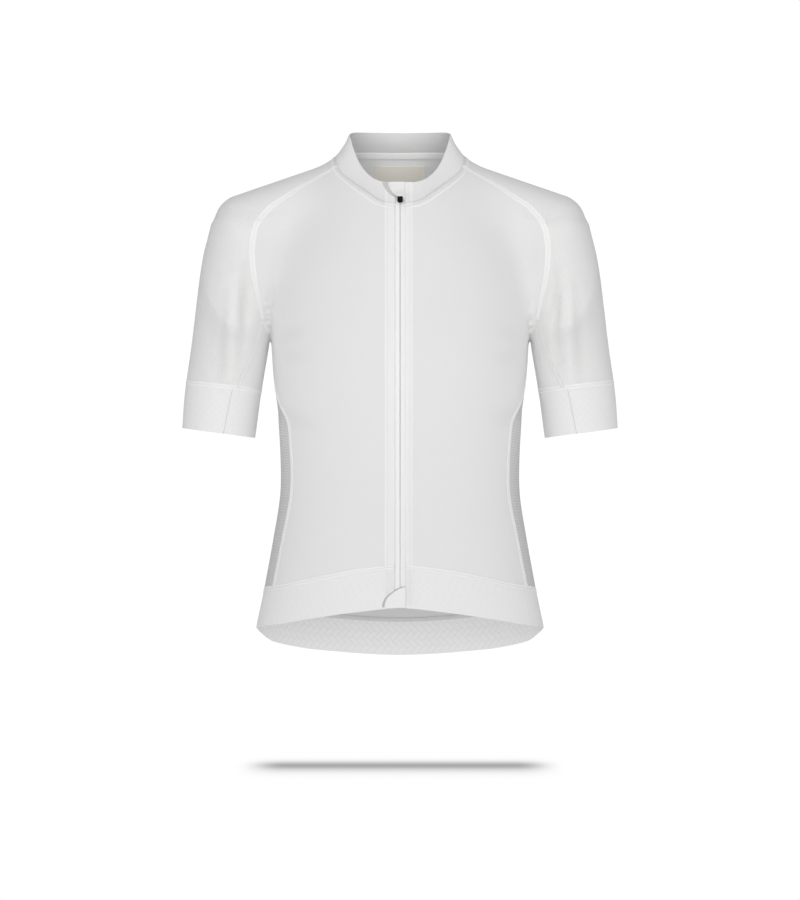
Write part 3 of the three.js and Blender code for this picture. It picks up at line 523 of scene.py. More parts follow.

# %% [markdown]
# ## Folds
# Race cut knit hardly wrinkles. What shows are shallow troughs where the sleeve is pulled down, short breaks
# at the armpits and the waist, and a few small creases near the zip and the hem. Each is given as a line with
# a reach and a depth, and a depth below zero makes a ridge. Every layer at one place moves by the same
# amount, so nothing that lies on a panel sinks into it.

# %% Troughs and ridges laid over the form
FOLD_ENDS = (0.12, 0.88)
FOLDS = table(
    "x y z to_x to_y to_z reach depth",
    (-184, -46, -118, -190, -44, -226, 6, 3.2),
    (-195, -47, -130, -201, -44, -246, 5.5, -2.0),
    (-205, -45, -150, -213, -43, -266, 6, 2.6),
    (-217, -40, -130, -221, -38, -250, 6, 0.9),
    (-178, -40, -150, -184, -40, -235, 4.5, -1.0),
    (184, -46, -120, 190, -44, -230, 6, 3.0),
    (195, -47, -128, 201, -44, -246, 5.5, -1.9),
    (206, -45, -140, 213, -43, -262, 6, 2.5),
    (178, -40, -146, 183, -40, -232, 4.5, -0.9),
    (184, 55, -120, 190, 55, -235, 6, 2.0),
    (200, 56, -115, 206, 54, -245, 6, 1.6),
    (-186, 55, -125, -192, 55, -240, 6, 1.9),
    (-203, 56, -110, -208, 54, -236, 6, 1.5),
    (-144, -40, -206, -110, -92, -192, 9, 0.9),
    (-146, -40, -228, -108, -92, -226, 9, 0.9),
    (144, -40, -205, 110, -92, -190, 9, 0.8),
    (146, -40, -228, 108, -92, -228, 9, 0.9),
    (150, 30, -212, 118, 84, -196, 8, 1.8),
    (-150, 30, -216, -116, 84, -198, 8, 1.8),
    (-146, 0, -286, -112, -68, -304, 12, 2.2),
    (146, -4, -288, 116, -66, -300, 12, 2.0),
    (-28, -99, -402, -10, -94, -415, 3.2, 0.9),
    (-26, -99, -408, -12, -94, -421, 3.4, -0.6),
    (-152, -52, -432, -112, -80, -468, 7, 1.4),
    (133, -66, -474, 152, -48, -500, 5, 1.2),
    (120, -72, -452, 150, -50, -488, 6, 1.0),
    (-60, -96, -448, -24, -100, -462, 5, 0.6),
    (-70, 82, -352, 84, 80, -338, 15, 1.3),
    (-92, 76, -384, 40, 86, -396, 15, 1.1),
    (96, 84, -230, 128, 66, -290, 12, 2.0),
    (-100, 84, -222, -126, 68, -282, 12, 2.0),
)


def fold_depth(p):
    depth = np.zeros(p.shape[:-1])
    for x, y, z, to_x, to_y, to_z, reach, deep in zip(*FOLDS.values()):
        start = np.array([x, y, z])
        run = np.array([to_x, to_y, to_z]) - start
        share = np.clip(((p - start) @ run) / (run @ run), 0, 1)
        away = np.linalg.norm(p - start - share[..., None] * run, axis=-1) / reach
        depth += deep * np.sin(math.pi * np.clip(share, *FOLD_ENDS)) * np.exp(-away * away)
    return depth


print(len(FOLDS["x"]), "folds")

# %% [markdown]
# ## From a grid to a piece of cloth
# A piece of knit has a face, a back and a rim. The shell is made from the grid of its face: the back is
# the same grid moved in by the cloth's thickness, and the rim is closed with a half round roll, as an
# edge looks once it is sewn. The piece carries its own map in metres, across and along the cloth, so
# that ribs and weaves come out at their real size.

# %% A thin shell with a rolled rim
SEAM_CLEAR = 0.17
ROLL = 0.3
SHARP = math.radians(50)
SAME_POINT = 1e-7


def closed_round(grid):
    return np.concatenate([grid, grid[:, :1]], 1)


def inwards(grid, tube):
    """For each point on the rim, a unit step into the cloth; zero elsewhere."""
    rows, columns = grid.shape[:2]
    row, column = np.meshgrid(np.arange(rows), np.arange(columns), indexing="ij")
    next_column = column if tube else np.clip(column, 1, columns - 2)
    step = grid[np.clip(row, 1, rows - 2), next_column] - grid
    return step / np.maximum(np.linalg.norm(step, axis=-1, keepdims=True), 1e-9)


def cloth_map(grid):
    """Where each point lies on the cloth: metres across from the middle column, and metres down."""
    middle = grid.shape[1] // 2
    across = np.linalg.norm(np.diff(grid, axis=1, prepend=grid[:, :1]), axis=2).cumsum(1)
    down = np.linalg.norm(np.diff(grid[:, middle], axis=0, prepend=grid[:1, middle]), axis=1).cumsum()
    return np.stack([across - across[:, middle, None], 0 * across - down[:, None]], -1) * MM


def cells_of(rows, columns):
    """The four corners of every cell in a grid of points."""
    at = np.arange(rows * columns).reshape(rows, columns)
    return np.stack([at[:-1, :-1], at[:-1, 1:], at[1:, 1:], at[1:, :-1]], -1).reshape(-1, 4)


def signed_volume(vertices, faces):
    """Above zero where the faces of a closed mesh turn outwards."""
    a, b, c, d = (vertices[faces[:, corner]] for corner in range(4))
    return ((np.cross(a, b) * c).sum() + (np.cross(a, c) * d).sum()) / 6


def solid(name, vertices, cloth_uv, faces, troughs):
    """A closed mesh with its own map. Points that coincide become one, and every face turns outwards."""
    mesh = bpy.data.meshes.new(name)
    mesh.from_pydata((vertices * MM).tolist(), [], faces)
    corner = np.empty(len(mesh.loops), int)
    mesh.loops.foreach_get("vertex_index", corner)
    mesh.uv_layers.new(name="cloth").data.foreach_set("uv", cloth_uv[corner].astype(np.float32).ravel())
    # each point keeps its fold depth, from which the cloth materials paint shade into the troughs
    mesh.attributes.new("fold", "FLOAT", "POINT").data.foreach_set("value", troughs.astype(np.float32))
    shaped = bmesh.new()
    shaped.from_mesh(mesh)
    bmesh.ops.remove_doubles(shaped, verts=shaped.verts, dist=SAME_POINT)
    bmesh.ops.recalc_face_normals(shaped, faces=shaped.faces)
    shaped.to_mesh(mesh)
    shaped.free()
    mesh.shade_smooth()
    return mesh


def shell(name, grid, normals, wall, lift=0.0, tube=False, clear=0.0):
    """The face of a piece, its back a wall's thickness further in, and a half round rim between them."""
    step = inwards(grid, tube)
    trough = fold_depth(grid)
    face = grid + step * clear + normals * (lift - trough)[..., None]
    back = face - normals * wall
    roll = (face + back) / 2 - step * ROLL * wall
    layers = (grid, trough, face, back, roll)
    grid, trough, face, back, roll = (closed_round(layer) for layer in layers) if tube else layers
    rows, columns = grid.shape[:2]
    at = np.arange(rows * columns).reshape(rows, columns)
    cells, cloth_uv = cells_of(rows, columns), cloth_map(grid).reshape(-1, 2)
    vertices = [face.reshape(-1, 3), back.reshape(-1, 3)]
    maps, faces = [cloth_uv, cloth_uv], [cells, cells[:, ::-1] + at.size]
    count = 2 * at.size
    top, right, bottom, left = at[0], at[1:-1, -1], at[-1, ::-1], at[-2::-1, 0]
    rims = [top, bottom] if tube else [np.concatenate([top, right, bottom, left])]
    for rim in rims:
        middle = count + np.arange(len(rim))
        for outer, inner in ((rim, middle), (middle, rim + at.size)):
            faces.append(np.stack([outer[1:], outer[:-1], inner[:-1], inner[1:]], -1))
        vertices.append(roll.reshape(-1, 3)[rim])
        maps.append(cloth_uv[rim])
        count += len(rim)
    troughs = np.concatenate([trough.ravel(), np.zeros(count - at.size)])
    vertices, faces = np.vstack(vertices), np.vstack(faces)
    # the first corner of a cell sets the diagonal that it bends along, so all of them turn round together
    faces = faces[:, ::-1] if signed_volume(vertices, faces) < 0 else faces
    mesh = solid(name, vertices, np.vstack(maps), faces.tolist(), troughs)
    mesh.set_sharp_from_angle(angle=SHARP)
    return mesh


print("a panel's rim rolls", ROLL * 100, "% of its thickness past its edge")

# %% [markdown]
# ## Finishes
# A knit doesn't look one colour. The grooves between its ribs take painted shade, its openings are painted
# dark as the shaded inside showing through them, and its thread has a grain. Each effect is a small group of
# shader nodes with its sizes as inputs, built once and placed in every material that has it, with that
# cloth's own sizes.

# %% Helpers for node trees
NUMBER, VECTOR = "NodeSocketFloat", "NodeSocketVector"


def feed(node, inputs):
    """Each input of a node gets a value, or a link from another node's output."""
    for name, value in dict(inputs).items():
        if isinstance(value, bpy.types.NodeSocket):
            node.id_data.links.new(value, node.inputs[name])
        else:
            node.inputs[name].default_value = value


def add(tree, kind, inputs=(), **settings):
    """A new node with its settings and its inputs."""
    made = tree.nodes.new(kind)
    for name, value in settings.items():
        setattr(made, name, value)
    feed(made, inputs)
    return made


def calc(tree, operation, *values):
    """A Math node's result from up to three values or outputs."""
    return add(tree, "ShaderNodeMath", enumerate(values), operation=operation).outputs[0]


def wave(tree, value):
    """A row of round humps, each one unit long."""
    return calc(tree, "ABSOLUTE", calc(tree, "SINE", calc(tree, "MULTIPLY", value, math.pi)))


def ramp(tree, value, start, end, high=1.0, **settings):
    """A value that falls from high to nothing between a start and an end."""
    inputs = {0: value, 1: start, 2: end, 3: high, 4: 0.0}
    return add(tree, "ShaderNodeMapRange", inputs, **settings).outputs[0]


def axes(tree, vector):
    return add(tree, "ShaderNodeSeparateXYZ", {"Vector": vector}).outputs


def blend(tree, factor, first, second):
    """A colour between two, by a factor."""
    return add(tree, "ShaderNodeMix", {0: factor, 6: first, 7: second}, data_type="RGBA").outputs[2]


def placed(tree, node_group, **inputs):
    """A node group placed in a material, with its own values."""
    return add(tree, "ShaderNodeGroup", inputs, node_tree=node_group).outputs


def group(name, inputs, outputs, kind="ShaderNodeTree"):
    """An empty node group with named sockets, and its input and output nodes."""
    tree = bpy.data.node_groups.new(name, kind)
    for socket, (form_of, value) in inputs.items():
        made = tree.interface.new_socket(socket, in_out="INPUT", socket_type=form_of)
        if value is not None:
            made.default_value = value
    for socket, form_of in outputs.items():
        tree.interface.new_socket(socket, in_out="OUTPUT", socket_type=form_of)
    return tree, tree.nodes.new("NodeGroupInput").outputs, tree.nodes.new("NodeGroupOutput")


# %% Ribs: wales across the cloth, broken into courses of small loops
ribs, given, out = group(
    "knit_ribs",
    {"Place": (VECTOR, None), "Wale": (NUMBER, 0.0012), "Course": (NUMBER, 0.0012)},
    {"Height": NUMBER},
)
place = axes(ribs, given["Place"])
wale = calc(ribs, "DIVIDE", place["X"], given["Wale"])
course = calc(ribs, "DIVIDE", place["Y"], given["Course"])
loops = wave(ribs, calc(ribs, "ADD", course, calc(ribs, "PINGPONG", wale, 0.5)))
feed(out, {"Height": calc(ribs, "MULTIPLY", wave(ribs, wale), calc(ribs, "MULTIPLY_ADD", loops, 0.4, 0.6))})
print("knit_ribs has", len(ribs.nodes), "nodes")

# %% Mesh: round openings in staggered rows
EDGE_OF_OPENING = 1.4
mesh_knit, given, out = group(
    "mesh_openings",
    {"Place": (VECTOR, None), "Pitch": (NUMBER, 0.002), "Opening": (NUMBER, 0.3)},
    {"Opening": NUMBER},
)
place = axes(mesh_knit, given["Place"])
row = calc(mesh_knit, "DIVIDE", place["Y"], given["Pitch"])
odd = calc(mesh_knit, "FLOORED_MODULO", calc(mesh_knit, "FLOOR", row), 2.0)
column = calc(mesh_knit, "MULTIPLY_ADD", odd, 0.5, calc(mesh_knit, "DIVIDE", place["X"], given["Pitch"]))
squares = 0.0
for step in (row, column):
    off = calc(mesh_knit, "SUBTRACT", calc(mesh_knit, "FRACT", step), 0.5)
    squares = calc(mesh_knit, "MULTIPLY_ADD", off, off, squares)
rim = calc(mesh_knit, "MULTIPLY", given["Opening"], EDGE_OF_OPENING)
feed(out, {"Opening": ramp(mesh_knit, calc(mesh_knit, "SQRT", squares), given["Opening"], rim)})
print("mesh_openings has", len(mesh_knit.nodes), "nodes")

# %% Slanted blocks: the grooves between short bricks laid at right angles, turned by 45 degrees
blocks, given, out = group(
    "slanted_blocks",
    {"Place": (VECTOR, None), "Block": (NUMBER, 0.0055), "Groove": (NUMBER, 0.1)},
    {"Groove": NUMBER},
)
turn = add(blocks, "ShaderNodeMapping", {"Vector": given["Place"], "Rotation": (0, 0, math.radians(45))})
place = axes(blocks, turn.outputs[0])
bricks = [calc(blocks, "DIVIDE", place[axis], given["Block"]) for axis in ("X", "Y")]
cell_x, cell_y = (calc(blocks, "FLOOR", brick) for brick in bricks)
kind = calc(blocks, "FLOORED_MODULO", calc(blocks, "SUBTRACT", cell_x, cell_y), 4.0)
from_left, from_foot = (calc(blocks, "FRACT", brick) for brick in bricks)
from_right, from_top = (calc(blocks, "SUBTRACT", 1.0, side) for side in (from_left, from_foot))
nearest = 1.0
for wall, opened in ((from_left, 1.0), (from_right, 0.0), (from_foot, 2.0), (from_top, 3.0)):
    shut = calc(blocks, "ADD", wall, calc(blocks, "COMPARE", kind, opened, 0.1))
    nearest = calc(blocks, "MINIMUM", nearest, shut)
feed(out, {"Groove": ramp(blocks, nearest, 0.0, given["Groove"])})
print("slanted_blocks has", len(blocks.nodes), "nodes")

# %% Grain: the soft unevenness of a knit, and the fuzz of its thread
grain, given, out = group(
    "cloth_grain",
    {"Place": (VECTOR, None), "Cloud": (NUMBER, 9.0), "Thread": (NUMBER, 900.0)},
    {"Tone": NUMBER, "Fuzz": NUMBER},
)
for result, scale, detail in (("Tone", "Cloud", 3.0), ("Fuzz", "Thread", 2.0)):
    noise = {"Vector": given["Place"], "Scale": given[scale], "Detail": detail}
    feed(out, {result: add(grain, "ShaderNodeTexNoise", noise).outputs[0]})
print("cloth_grain has", len(grain.nodes), "nodes")

# %% One cloth material: a light colour, a shaded colour, and whatever relief the knit has
THROUGH = 0.3
THROUGH_REACH = 0.003
FOLD_SHADE = 0.16
CLOUD_TONE = 0.04
FUZZ = 0.3


def grey(value, cream=0.003):
    return (value, value - cream * 0.3, value - cream, 1.0)


def new_material(name):
    material = bpy.data.materials.new(name)
    material.use_nodes = True
    return material, material.node_tree, material.node_tree.nodes["Principled BSDF"]


def cloth_material(
    name, light, dark, relief, depth, roughness=0.85, cream=0.003, finish=None, mapped=True, through=0.0
):
    """relief(tree, uv) gives how much painted shade the knit takes at each point, from 0 to 1, and its
    height.
    """
    material, tree, shader = new_material(name)
    place = add(tree, "ShaderNodeTexCoord").outputs["Object"]
    uv = add(tree, "ShaderNodeUVMap", uv_map="cloth").outputs["UV"] if mapped else place
    shade, height = relief(tree, uv)
    uneven = placed(tree, grain, Place=place)
    toned = calc(tree, "MULTIPLY_ADD", calc(tree, "SUBTRACT", uneven["Tone"], 0.5), CLOUD_TONE, shade)
    # painted shade: the deeper a point lies in a fold's trough, the nearer its colour is to the shaded one
    trough = add(tree, "ShaderNodeAttribute", attribute_name="fold").outputs["Fac"]
    toned = calc(tree, "MULTIPLY_ADD", trough, FOLD_SHADE, toned)
    colour = blend(tree, toned, grey(light, cream), grey(dark, cream))
    fuzzed = calc(tree, "MULTIPLY_ADD", uneven["Fuzz"], FUZZ, height)
    bump = add(tree, "ShaderNodeBump", {"Height": fuzzed, "Distance": depth})
    values = {
        "Base Color": finish(tree, place, colour) if finish else colour,
        "Normal": bump.outputs["Normal"],
        "Roughness": roughness,
        "Specular IOR Level": 0.25,
        "Sheen Weight": 0.05,
        "Subsurface Weight": through,
        "Subsurface Scale": THROUGH_REACH,
        "Subsurface Radius": (1.0, 1.0, 1.0),
    }
    feed(shader, values)
    return material


def ribbed(wale, course, darkness, quarter_turn=False):
    """Relief of plain knit: the grooves between the wales are painted darker than their crowns, as shade."""

    def relief(tree, uv):
        if quarter_turn:
            uv = add(tree, "ShaderNodeMapping", {"Vector": uv, "Rotation": (0, 0, math.pi / 2)}).outputs[0]
        height = placed(tree, ribs, Place=uv, Wale=wale, Course=course)["Height"]
        return calc(tree, "MULTIPLY", calc(tree, "SUBTRACT", 1.0, height), darkness), height

    return relief


print("a trough of 1 mm is", FOLD_SHADE * 100, "% nearer to the shaded colour")

# %% The knits, the seam bands and the threads; the front is paler where the zip tape lies behind it
TAPE_SHOW = {"half": 0.0164, "middle": -0.0014, "soft": 0.0004, "share": 0.95, "grey": 0.96}
SEAM_GROOVE = {"from": 0.0001, "to": 0.0006, "dark": 0.4, "ladder": 0.0026, "lean": 0.003, "rungs": 0.18}


def tape_shows(tree, place, colour):
    at = axes(tree, place)
    away = calc(tree, "ABSOLUTE", calc(tree, "SUBTRACT", at["X"], TAPE_SHOW["middle"]))
    half, soft = TAPE_SHOW["half"], TAPE_SHOW["soft"]
    near = ramp(tree, away, half - soft, half + soft, TAPE_SHOW["share"])
    in_front = calc(tree, "LESS_THAN", at["Y"], 0.0)
    return blend(tree, calc(tree, "MULTIPLY", near, in_front), colour, grey(TAPE_SHOW["grey"]))


def flat_seam(tree, uv):
    """A groove down the middle of a seam band, painted dark as shade, and cover threads that cross it like a
    ladder, with painted shade between them.
    """
    at = axes(tree, uv)
    off = calc(tree, "ABSOLUTE", at["X"])
    groove = ramp(tree, off, SEAM_GROOVE["from"], SEAM_GROOVE["to"], SEAM_GROOVE["dark"])
    steps_up = calc(tree, "DIVIDE", at["Y"], SEAM_GROOVE["ladder"])
    rungs = wave(tree, calc(tree, "ADD", steps_up, calc(tree, "DIVIDE", off, SEAM_GROOVE["lean"])))
    shade = calc(tree, "MULTIPLY_ADD", calc(tree, "SUBTRACT", 1.0, rungs), SEAM_GROOVE["rungs"], groove)
    return shade, calc(tree, "SUBTRACT", rungs, groove)


by_tape = {"finish": tape_shows, "through": THROUGH}
collar_ribs, lining_ribs = (ribbed(0.0024, 0.0012, darkness, quarter_turn=True) for darkness in (0.14, 0.16))
body_knit = cloth_material("body_knit", 0.86, 0.66, ribbed(0.0011, 0.0009, 0.10), 0.00008, **by_tape)
sleeve_knit = cloth_material("sleeve_knit", 0.91, 0.66, ribbed(0.0026, 0.0012, 0.22), 0.0003, through=THROUGH)
collar_knit = cloth_material("collar_knit", 0.89, 0.62, collar_ribs, 0.0002, **by_tape)
collar_lining = cloth_material("collar_lining", 0.80, 0.56, lining_ribs, 0.0002)
flap_knit = cloth_material("flap_knit", 0.90, 0.66, ribbed(0.0011, 0.0009, 0.08), 0.00008)
tape_weave = cloth_material("tape_weave", 0.95, 0.74, ribbed(0.0008, 0.0016, 0.12), 0.0001, roughness=0.7)
# painted shade: a darker knit for the collar's open end beside the flap
painted_shade_knit = cloth_material("painted_shade_knit", 0.62, 0.48, ribbed(0.0011, 0.0009, 0.08), 0.00008)
seam_knit = cloth_material("seam_knit", 0.93, 0.72, flat_seam, 0.00015)
fine, twist = ribbed(0.0012, 0.0008, 0.10), ribbed(0.0005, 0.0004, 0.1)
ridge_knit = cloth_material("ridge_knit", 0.91, 0.76, fine, 0.0001)
# a real join across the cuff, its darker colour painted shade of the join's groove
painted_join_shade = cloth_material("painted_join_shade", 0.72, 0.6, fine, 0.0001)
# painted shade: the inside hem seam's knit is darker than the lining around it
overlock_shade = cloth_material("overlock_shade", 0.78, 0.6, fine, 0.0002)
# painted shadow: the dark knit of the band along the guard flap's edge
painted_shadow_knit = cloth_material("painted_shadow_knit", 0.56, 0.46, fine, 0.0001)
soft_thread = cloth_material("soft_thread", 0.88, 0.76, twist, 0.00005, mapped=False)
topstitch = cloth_material("topstitch", 0.74, 0.6, twist, 0.00005, mapped=False)
thread = cloth_material("thread", 0.99, 0.9, twist, 0.00005, roughness=0.55, mapped=False)
coil_turns = ribbed(0.0009, 0.0009, 0.05)
coil_nylon = cloth_material("coil_nylon", 0.9, 0.8, coil_turns, 0.00002, roughness=0.35, mapped=False)
print("plain knits:", [m.name for m in (body_knit, sleeve_knit, collar_knit, tape_weave, seam_knit)])


# %% The mesh of the sides, and the slanting weave of the elastic bands
def open_mesh(tree, uv):
    # the openings are painted dark, as the shaded inside of the jersey showing through them
    opening = placed(tree, mesh_knit, Place=uv, Pitch=0.0019, Opening=0.27)["Opening"]
    return opening, calc(tree, "SUBTRACT", 1.0, opening)


def slanting(tree, uv):
    # the grooves between the slanted blocks are painted darker, as shade
    groove = placed(tree, blocks, Place=uv, Block=0.0065, Groove=0.085)["Groove"]
    wales = placed(tree, ribs, Place=uv, Wale=0.0009, Course=0.0009)["Height"]
    height = calc(tree, "MULTIPLY_ADD", wales, 0.15, calc(tree, "SUBTRACT", 1.0, groove))
    return calc(tree, "MULTIPLY", groove, 0.6), height


side_mesh = cloth_material("side_mesh", 0.81, 0.52, open_mesh, 0.0003, roughness=0.9)
gusset_mesh = cloth_material("gusset_mesh", 0.91, 0.80, open_mesh, 0.00012, roughness=0.9, through=THROUGH)
band_weave = cloth_material("band_weave", 0.88, 0.82, slanting, 0.00005, through=THROUGH)
band_lining = cloth_material("band_lining", 0.95, 0.74, slanting, 0.00015, through=THROUGH)
satin = ribbed(0.0005, 0.0005, 0.1)
label_weave = cloth_material("label_weave", 0.97, 0.85, satin, 0.00006, cream=0.13, roughness=0.6)
print("mesh and bands:", side_mesh.name, band_weave.name, label_weave.name)

# %% [markdown]
# ## Cutting and placing the pieces
# Each piece now takes its grid, its thickness and its finish, stands in for its rigid node and rides on
# the body.

# %% One function that makes, places and finishes a piece, and keeps its flat cut
PANEL_WALL = 0.9
BAND_WALL = 1.2
COLLAR_WALL = 1.4
TRIM_WALL = 0.7
STRETCH_ACROSS = 1.06
STRETCH_DOWN = 1.02
cloth_pieces = {}


def flat_cut(grid, tube):
    """Width, length and area of the worn piece in metres, less the stretch."""
    grid = closed_round(grid) if tube else grid
    width = np.linalg.norm(np.diff(grid, axis=1), axis=2).sum(1).max() * MM / STRETCH_ACROSS
    length = np.linalg.norm(np.diff(grid, axis=0), axis=2).sum(0).max() * MM / STRETCH_DOWN
    foot_left, top_right = grid[1:, :-1], grid[:-1, 1:]
    halves = [np.cross(foot_left - corner, top_right - corner) for corner in (grid[:-1, :-1], grid[1:, 1:])]
    area = np.linalg.norm(halves, axis=3).sum() / 2 * MM * MM / (STRETCH_ACROSS * STRETCH_DOWN)
    return (width, length), min(max(area, 0.3 * width * length), width * length)


def linked(name, data):
    made = bpy.data.objects.new(name, data)
    bpy.context.collection.objects.link(made)
    return made


def worn(piece, body="jersey"):
    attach(piece, body)
    return piece


def applied(piece):
    """Turns what a piece's modifiers make into its own mesh."""
    piece.data = bpy.data.meshes.new_from_object(piece.evaluated_get(bpy.context.evaluated_depsgraph_get()))
    piece.modifiers.clear()


def make_cloth(
    name, grid, material, slot, wall=PANEL_WALL, lift=0.0, tube=False, normals=None, laid_on=None, lining=None
):
    """laid_on names the piece that this one is sewn flat onto; without it the piece meets its neighbours."""
    normals = facing(grid) if normals is None else normals
    clear = 0 if laid_on else SEAM_CLEAR + ROLL * wall
    mesh = shell(name, grid, normals, wall, lift, tube, clear)
    mesh.materials.append(material)
    if lining:
        mesh.materials.append(lining)
        face_count = (grid.shape[0] - 1) * (grid.shape[1] - (0 if tube else 1))
        sides = np.zeros(len(mesh.polygons), np.int32)
        sides[face_count : 2 * face_count] = 1
        mesh.polygons.foreach_set("material_index", sides)
    piece = worn(linked(f"{name}_cloth", mesh))
    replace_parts(piece, name)
    flat, area = flat_cut(grid, tube)
    cloth_pieces[name] = {"piece": piece, "flat": flat, "area": area, "laid_on": laid_on}


def make_pair(name, grid, material, slot, **options):
    make_cloth(f"{name}_left", grid, material, slot, **options)
    make_cloth(f"{name}_right", mirrored(grid), material, slot, **options)


banded = {"wall": BAND_WALL, "lining": band_lining}
standing = {"wall": COLLAR_WALL, "normals": collar_out, "lining": collar_lining}
make_pair("front", front_grid, body_knit, "white_knit")
make_cloth("back", back_grid, body_knit, "white_knit")
make_pair("side", side_grid, side_mesh, "side_mesh")
make_pair("sleeve", sleeve_grid, sleeve_knit, "white_knit")
make_pair("under_sleeve", under_grid, gusset_mesh, "side_mesh")
make_pair("cuff", cuff_grid, band_weave, "elastic_band", tube=True, **banded)
make_cloth("hem_band", hem_grid, band_weave, "elastic_band", **banded)
make_cloth("collar", collar_grid, collar_knit, "collar_knit", **standing)
print(len(cloth_pieces), "pieces that meet at seams")

# %% [markdown]
# ## What is laid on the panels
# The zip tapes run behind the fronts from collar to hem. A narrow tape covers the neck seam inside, the
# label sits under it, the pocket panel lies on the lower back, and two small flaps cover the zip's ends.
# Each is made from points of the panel that it lies on, moved out or in, so it follows that panel.

# %% The zip tapes
TAPE_START = 0.5
TAPE_SHARES = np.linspace(0.08, 0.93, 10)
TAPE_LIFT = -1.75
TAPE_RAISE = 1.45
TAPE_BEND = {"inside": 0.6, "run": 1.2}


def down_the_zip(xs, shares, skipped=0):
    """Points beside the zip, down the collar, the front and the hem band, and their outward steps."""
    collar_shares = np.broadcast_to(shares[::-1, None], (len(shares), len(xs)))
    on_collar = np.stack([collar_point(neck_turn(xs), share) for share in shares[::-1]])
    on_front = np.stack([front_line(x) for x in xs], 1)[skipped : len(front_side) - skipped]
    on_hem = np.stack([hem_point(hem_turn(xs), share) for share in shares])
    turns = np.broadcast_to(neck_turn(xs), collar_shares.shape)
    out = [collar_facing(turns, collar_shares), facing(on_front), facing(on_hem)]
    return np.concatenate([on_collar, on_front, on_hem]), np.concatenate(out)


tape_xs = joined(np.linspace(TAPE_START, ZIP_CHANNEL, 5), np.linspace(ZIP_CHANNEL, TAPE_EDGE, 7))
tape_grid, tape_out = down_the_zip(tape_xs, TAPE_SHARES)
raised = np.clip((ZIP_CHANNEL - TAPE_BEND["inside"] - tape_xs) / TAPE_BEND["run"], 0, 1)
raised = TAPE_LIFT + TAPE_RAISE * raised * raised * (3 - 2 * raised)
tape_options = {"wall": TRIM_WALL, "laid_on": "hem_band"}
for hand, lift in (("left", TAPE_LIFT), ("right", raised + 0 * tape_grid[..., 0])):
    grid, out = (tape_grid, tape_out) if hand == "left" else (mirrored(tape_grid), mirrored(tape_out))
    make_cloth(f"zip_tape_{hand}", grid, tape_weave, "zip_tape", lift=lift, normals=out, **tape_options)
tape_length = np.linalg.norm(np.diff(tape_grid[:, 0], axis=0), axis=1).sum()
print("the zip tape is", round(float(tape_length)), "mm long")

# %% The tape over the neck seam, the label, and the pocket panel
NECK_TAPE = {"shoulder_cells": 4, "top": 0.6, "bottom": 7, "clear": 0.5}
LABEL = {"half": 30.5, "top": 12, "bottom": -20}
LAID_GAP = 0.35
POCKET_ROWS = 6
tape_turns = joined(shoulder_turns[-NECK_TAPE["shoulder_cells"] * FINE - 1 :], back_turns)
neck_rim = whole(neck_point(tape_turns))
downward = unit(np.cross(np.gradient(neck_rim, axis=0), facing(neck_rim)))
tape_depths = np.linspace(NECK_TAPE["top"], NECK_TAPE["bottom"], 4)
neck_tape_grid = np.stack([onto_form(neck_rim + downward * depth) for depth in tape_depths])
label_x = np.linspace(LABEL["half"], -LABEL["half"], 25)
label_grid = on_back(*np.meshgrid(label_x, np.linspace(LABEL["top"], LABEL["bottom"], 15)))
pocket_grid = back_grid[-POCKET_ROWS * FINE - 1 :]
inside = {"wall": TRIM_WALL, "laid_on": "back"}
tape_lift, label_lift = -PANEL_WALL - NECK_TAPE["clear"], -PANEL_WALL - LAID_GAP
pocket_lift = PANEL_WALL + LAID_GAP
make_cloth("neck_tape", neck_tape_grid, tape_weave, "zip_tape", lift=tape_lift, **inside)
make_cloth("neck_label", label_grid, label_weave, "label_cloth", lift=label_lift, **inside)
make_cloth("back_pockets", pocket_grid, body_knit, "white_knit", lift=pocket_lift, laid_on="back")
print("the label is", 2 * LABEL["half"], "by", LABEL["top"] - LABEL["bottom"], "mm, and bare")

# %% The flap over the slider, the collar's open end beside it as a sheet of painted shade, and the flap over the zip's lower end
COLLAR_HEIGHT = 31
GARAGE = table(
    "x edge", (-16.5, 27), (-14, 21.5), (-9, 13.9), (-3.6, 8.9), (0, 8.1), (3.5, 7.8), (5, 4.8), (6.3, 2.4)
)
GARAGE_TOP = 30.3
GARAGE_SWELL = {"height": 3.2, "x": 8, "up": 7.5, "rise": 8}
SHADED_OPEN_END = table(
    "share x rise to_x to_rise", (0, -16, 30.4, -26, 30.4), (0.3, -15.5, 26, -21.5, 23),
    (0.6, -12.5, 19.5, -16.6, 16.8), (0.85, -8.6, 13.9, -10.8, 11.8), (1, -4, 9.3, -4.6, 8.4),
)
SHADED_OPEN_LIFT = 0.45
GUARD = table(
    "x top", (-17.9, -515), (-15.5, -509), (-11.5, -504.5), (-6.3, -500.6), (-1, -497.4), (3, -495.8),
    (6.4, -495.3),
)
FLAP_LIFT = 1.2
flap = {"wall": TRIM_WALL, "lift": FLAP_LIFT}


def spread(values, columns):
    """Even columns from the first of some values to the last."""
    return np.linspace(values[0], values[-1], columns)


across = spread(GARAGE["x"], 33)
rise = GARAGE_TOP + np.linspace(0, 1, 17)[:, None] * (sample(GARAGE, "x", across, "edge") - GARAGE_TOP)
garage_turn = np.broadcast_to(neck_turn(across), rise.shape)
garage_out = collar_facing(garage_turn, rise / COLLAR_HEIGHT)
swell_up = (rise - GARAGE_SWELL["rise"]) / GARAGE_SWELL["up"]
bulge = np.exp(-((across / GARAGE_SWELL["x"]) ** 2) - swell_up**2)
garage_grid = collar_point(garage_turn, rise / COLLAR_HEIGHT)
garage_grid = garage_grid + garage_out * (GARAGE_SWELL["height"] * bulge)[..., None]
make_cloth("zip_garage", garage_grid, flap_knit, "flap_cloth", normals=garage_out, laid_on="collar", **flap)
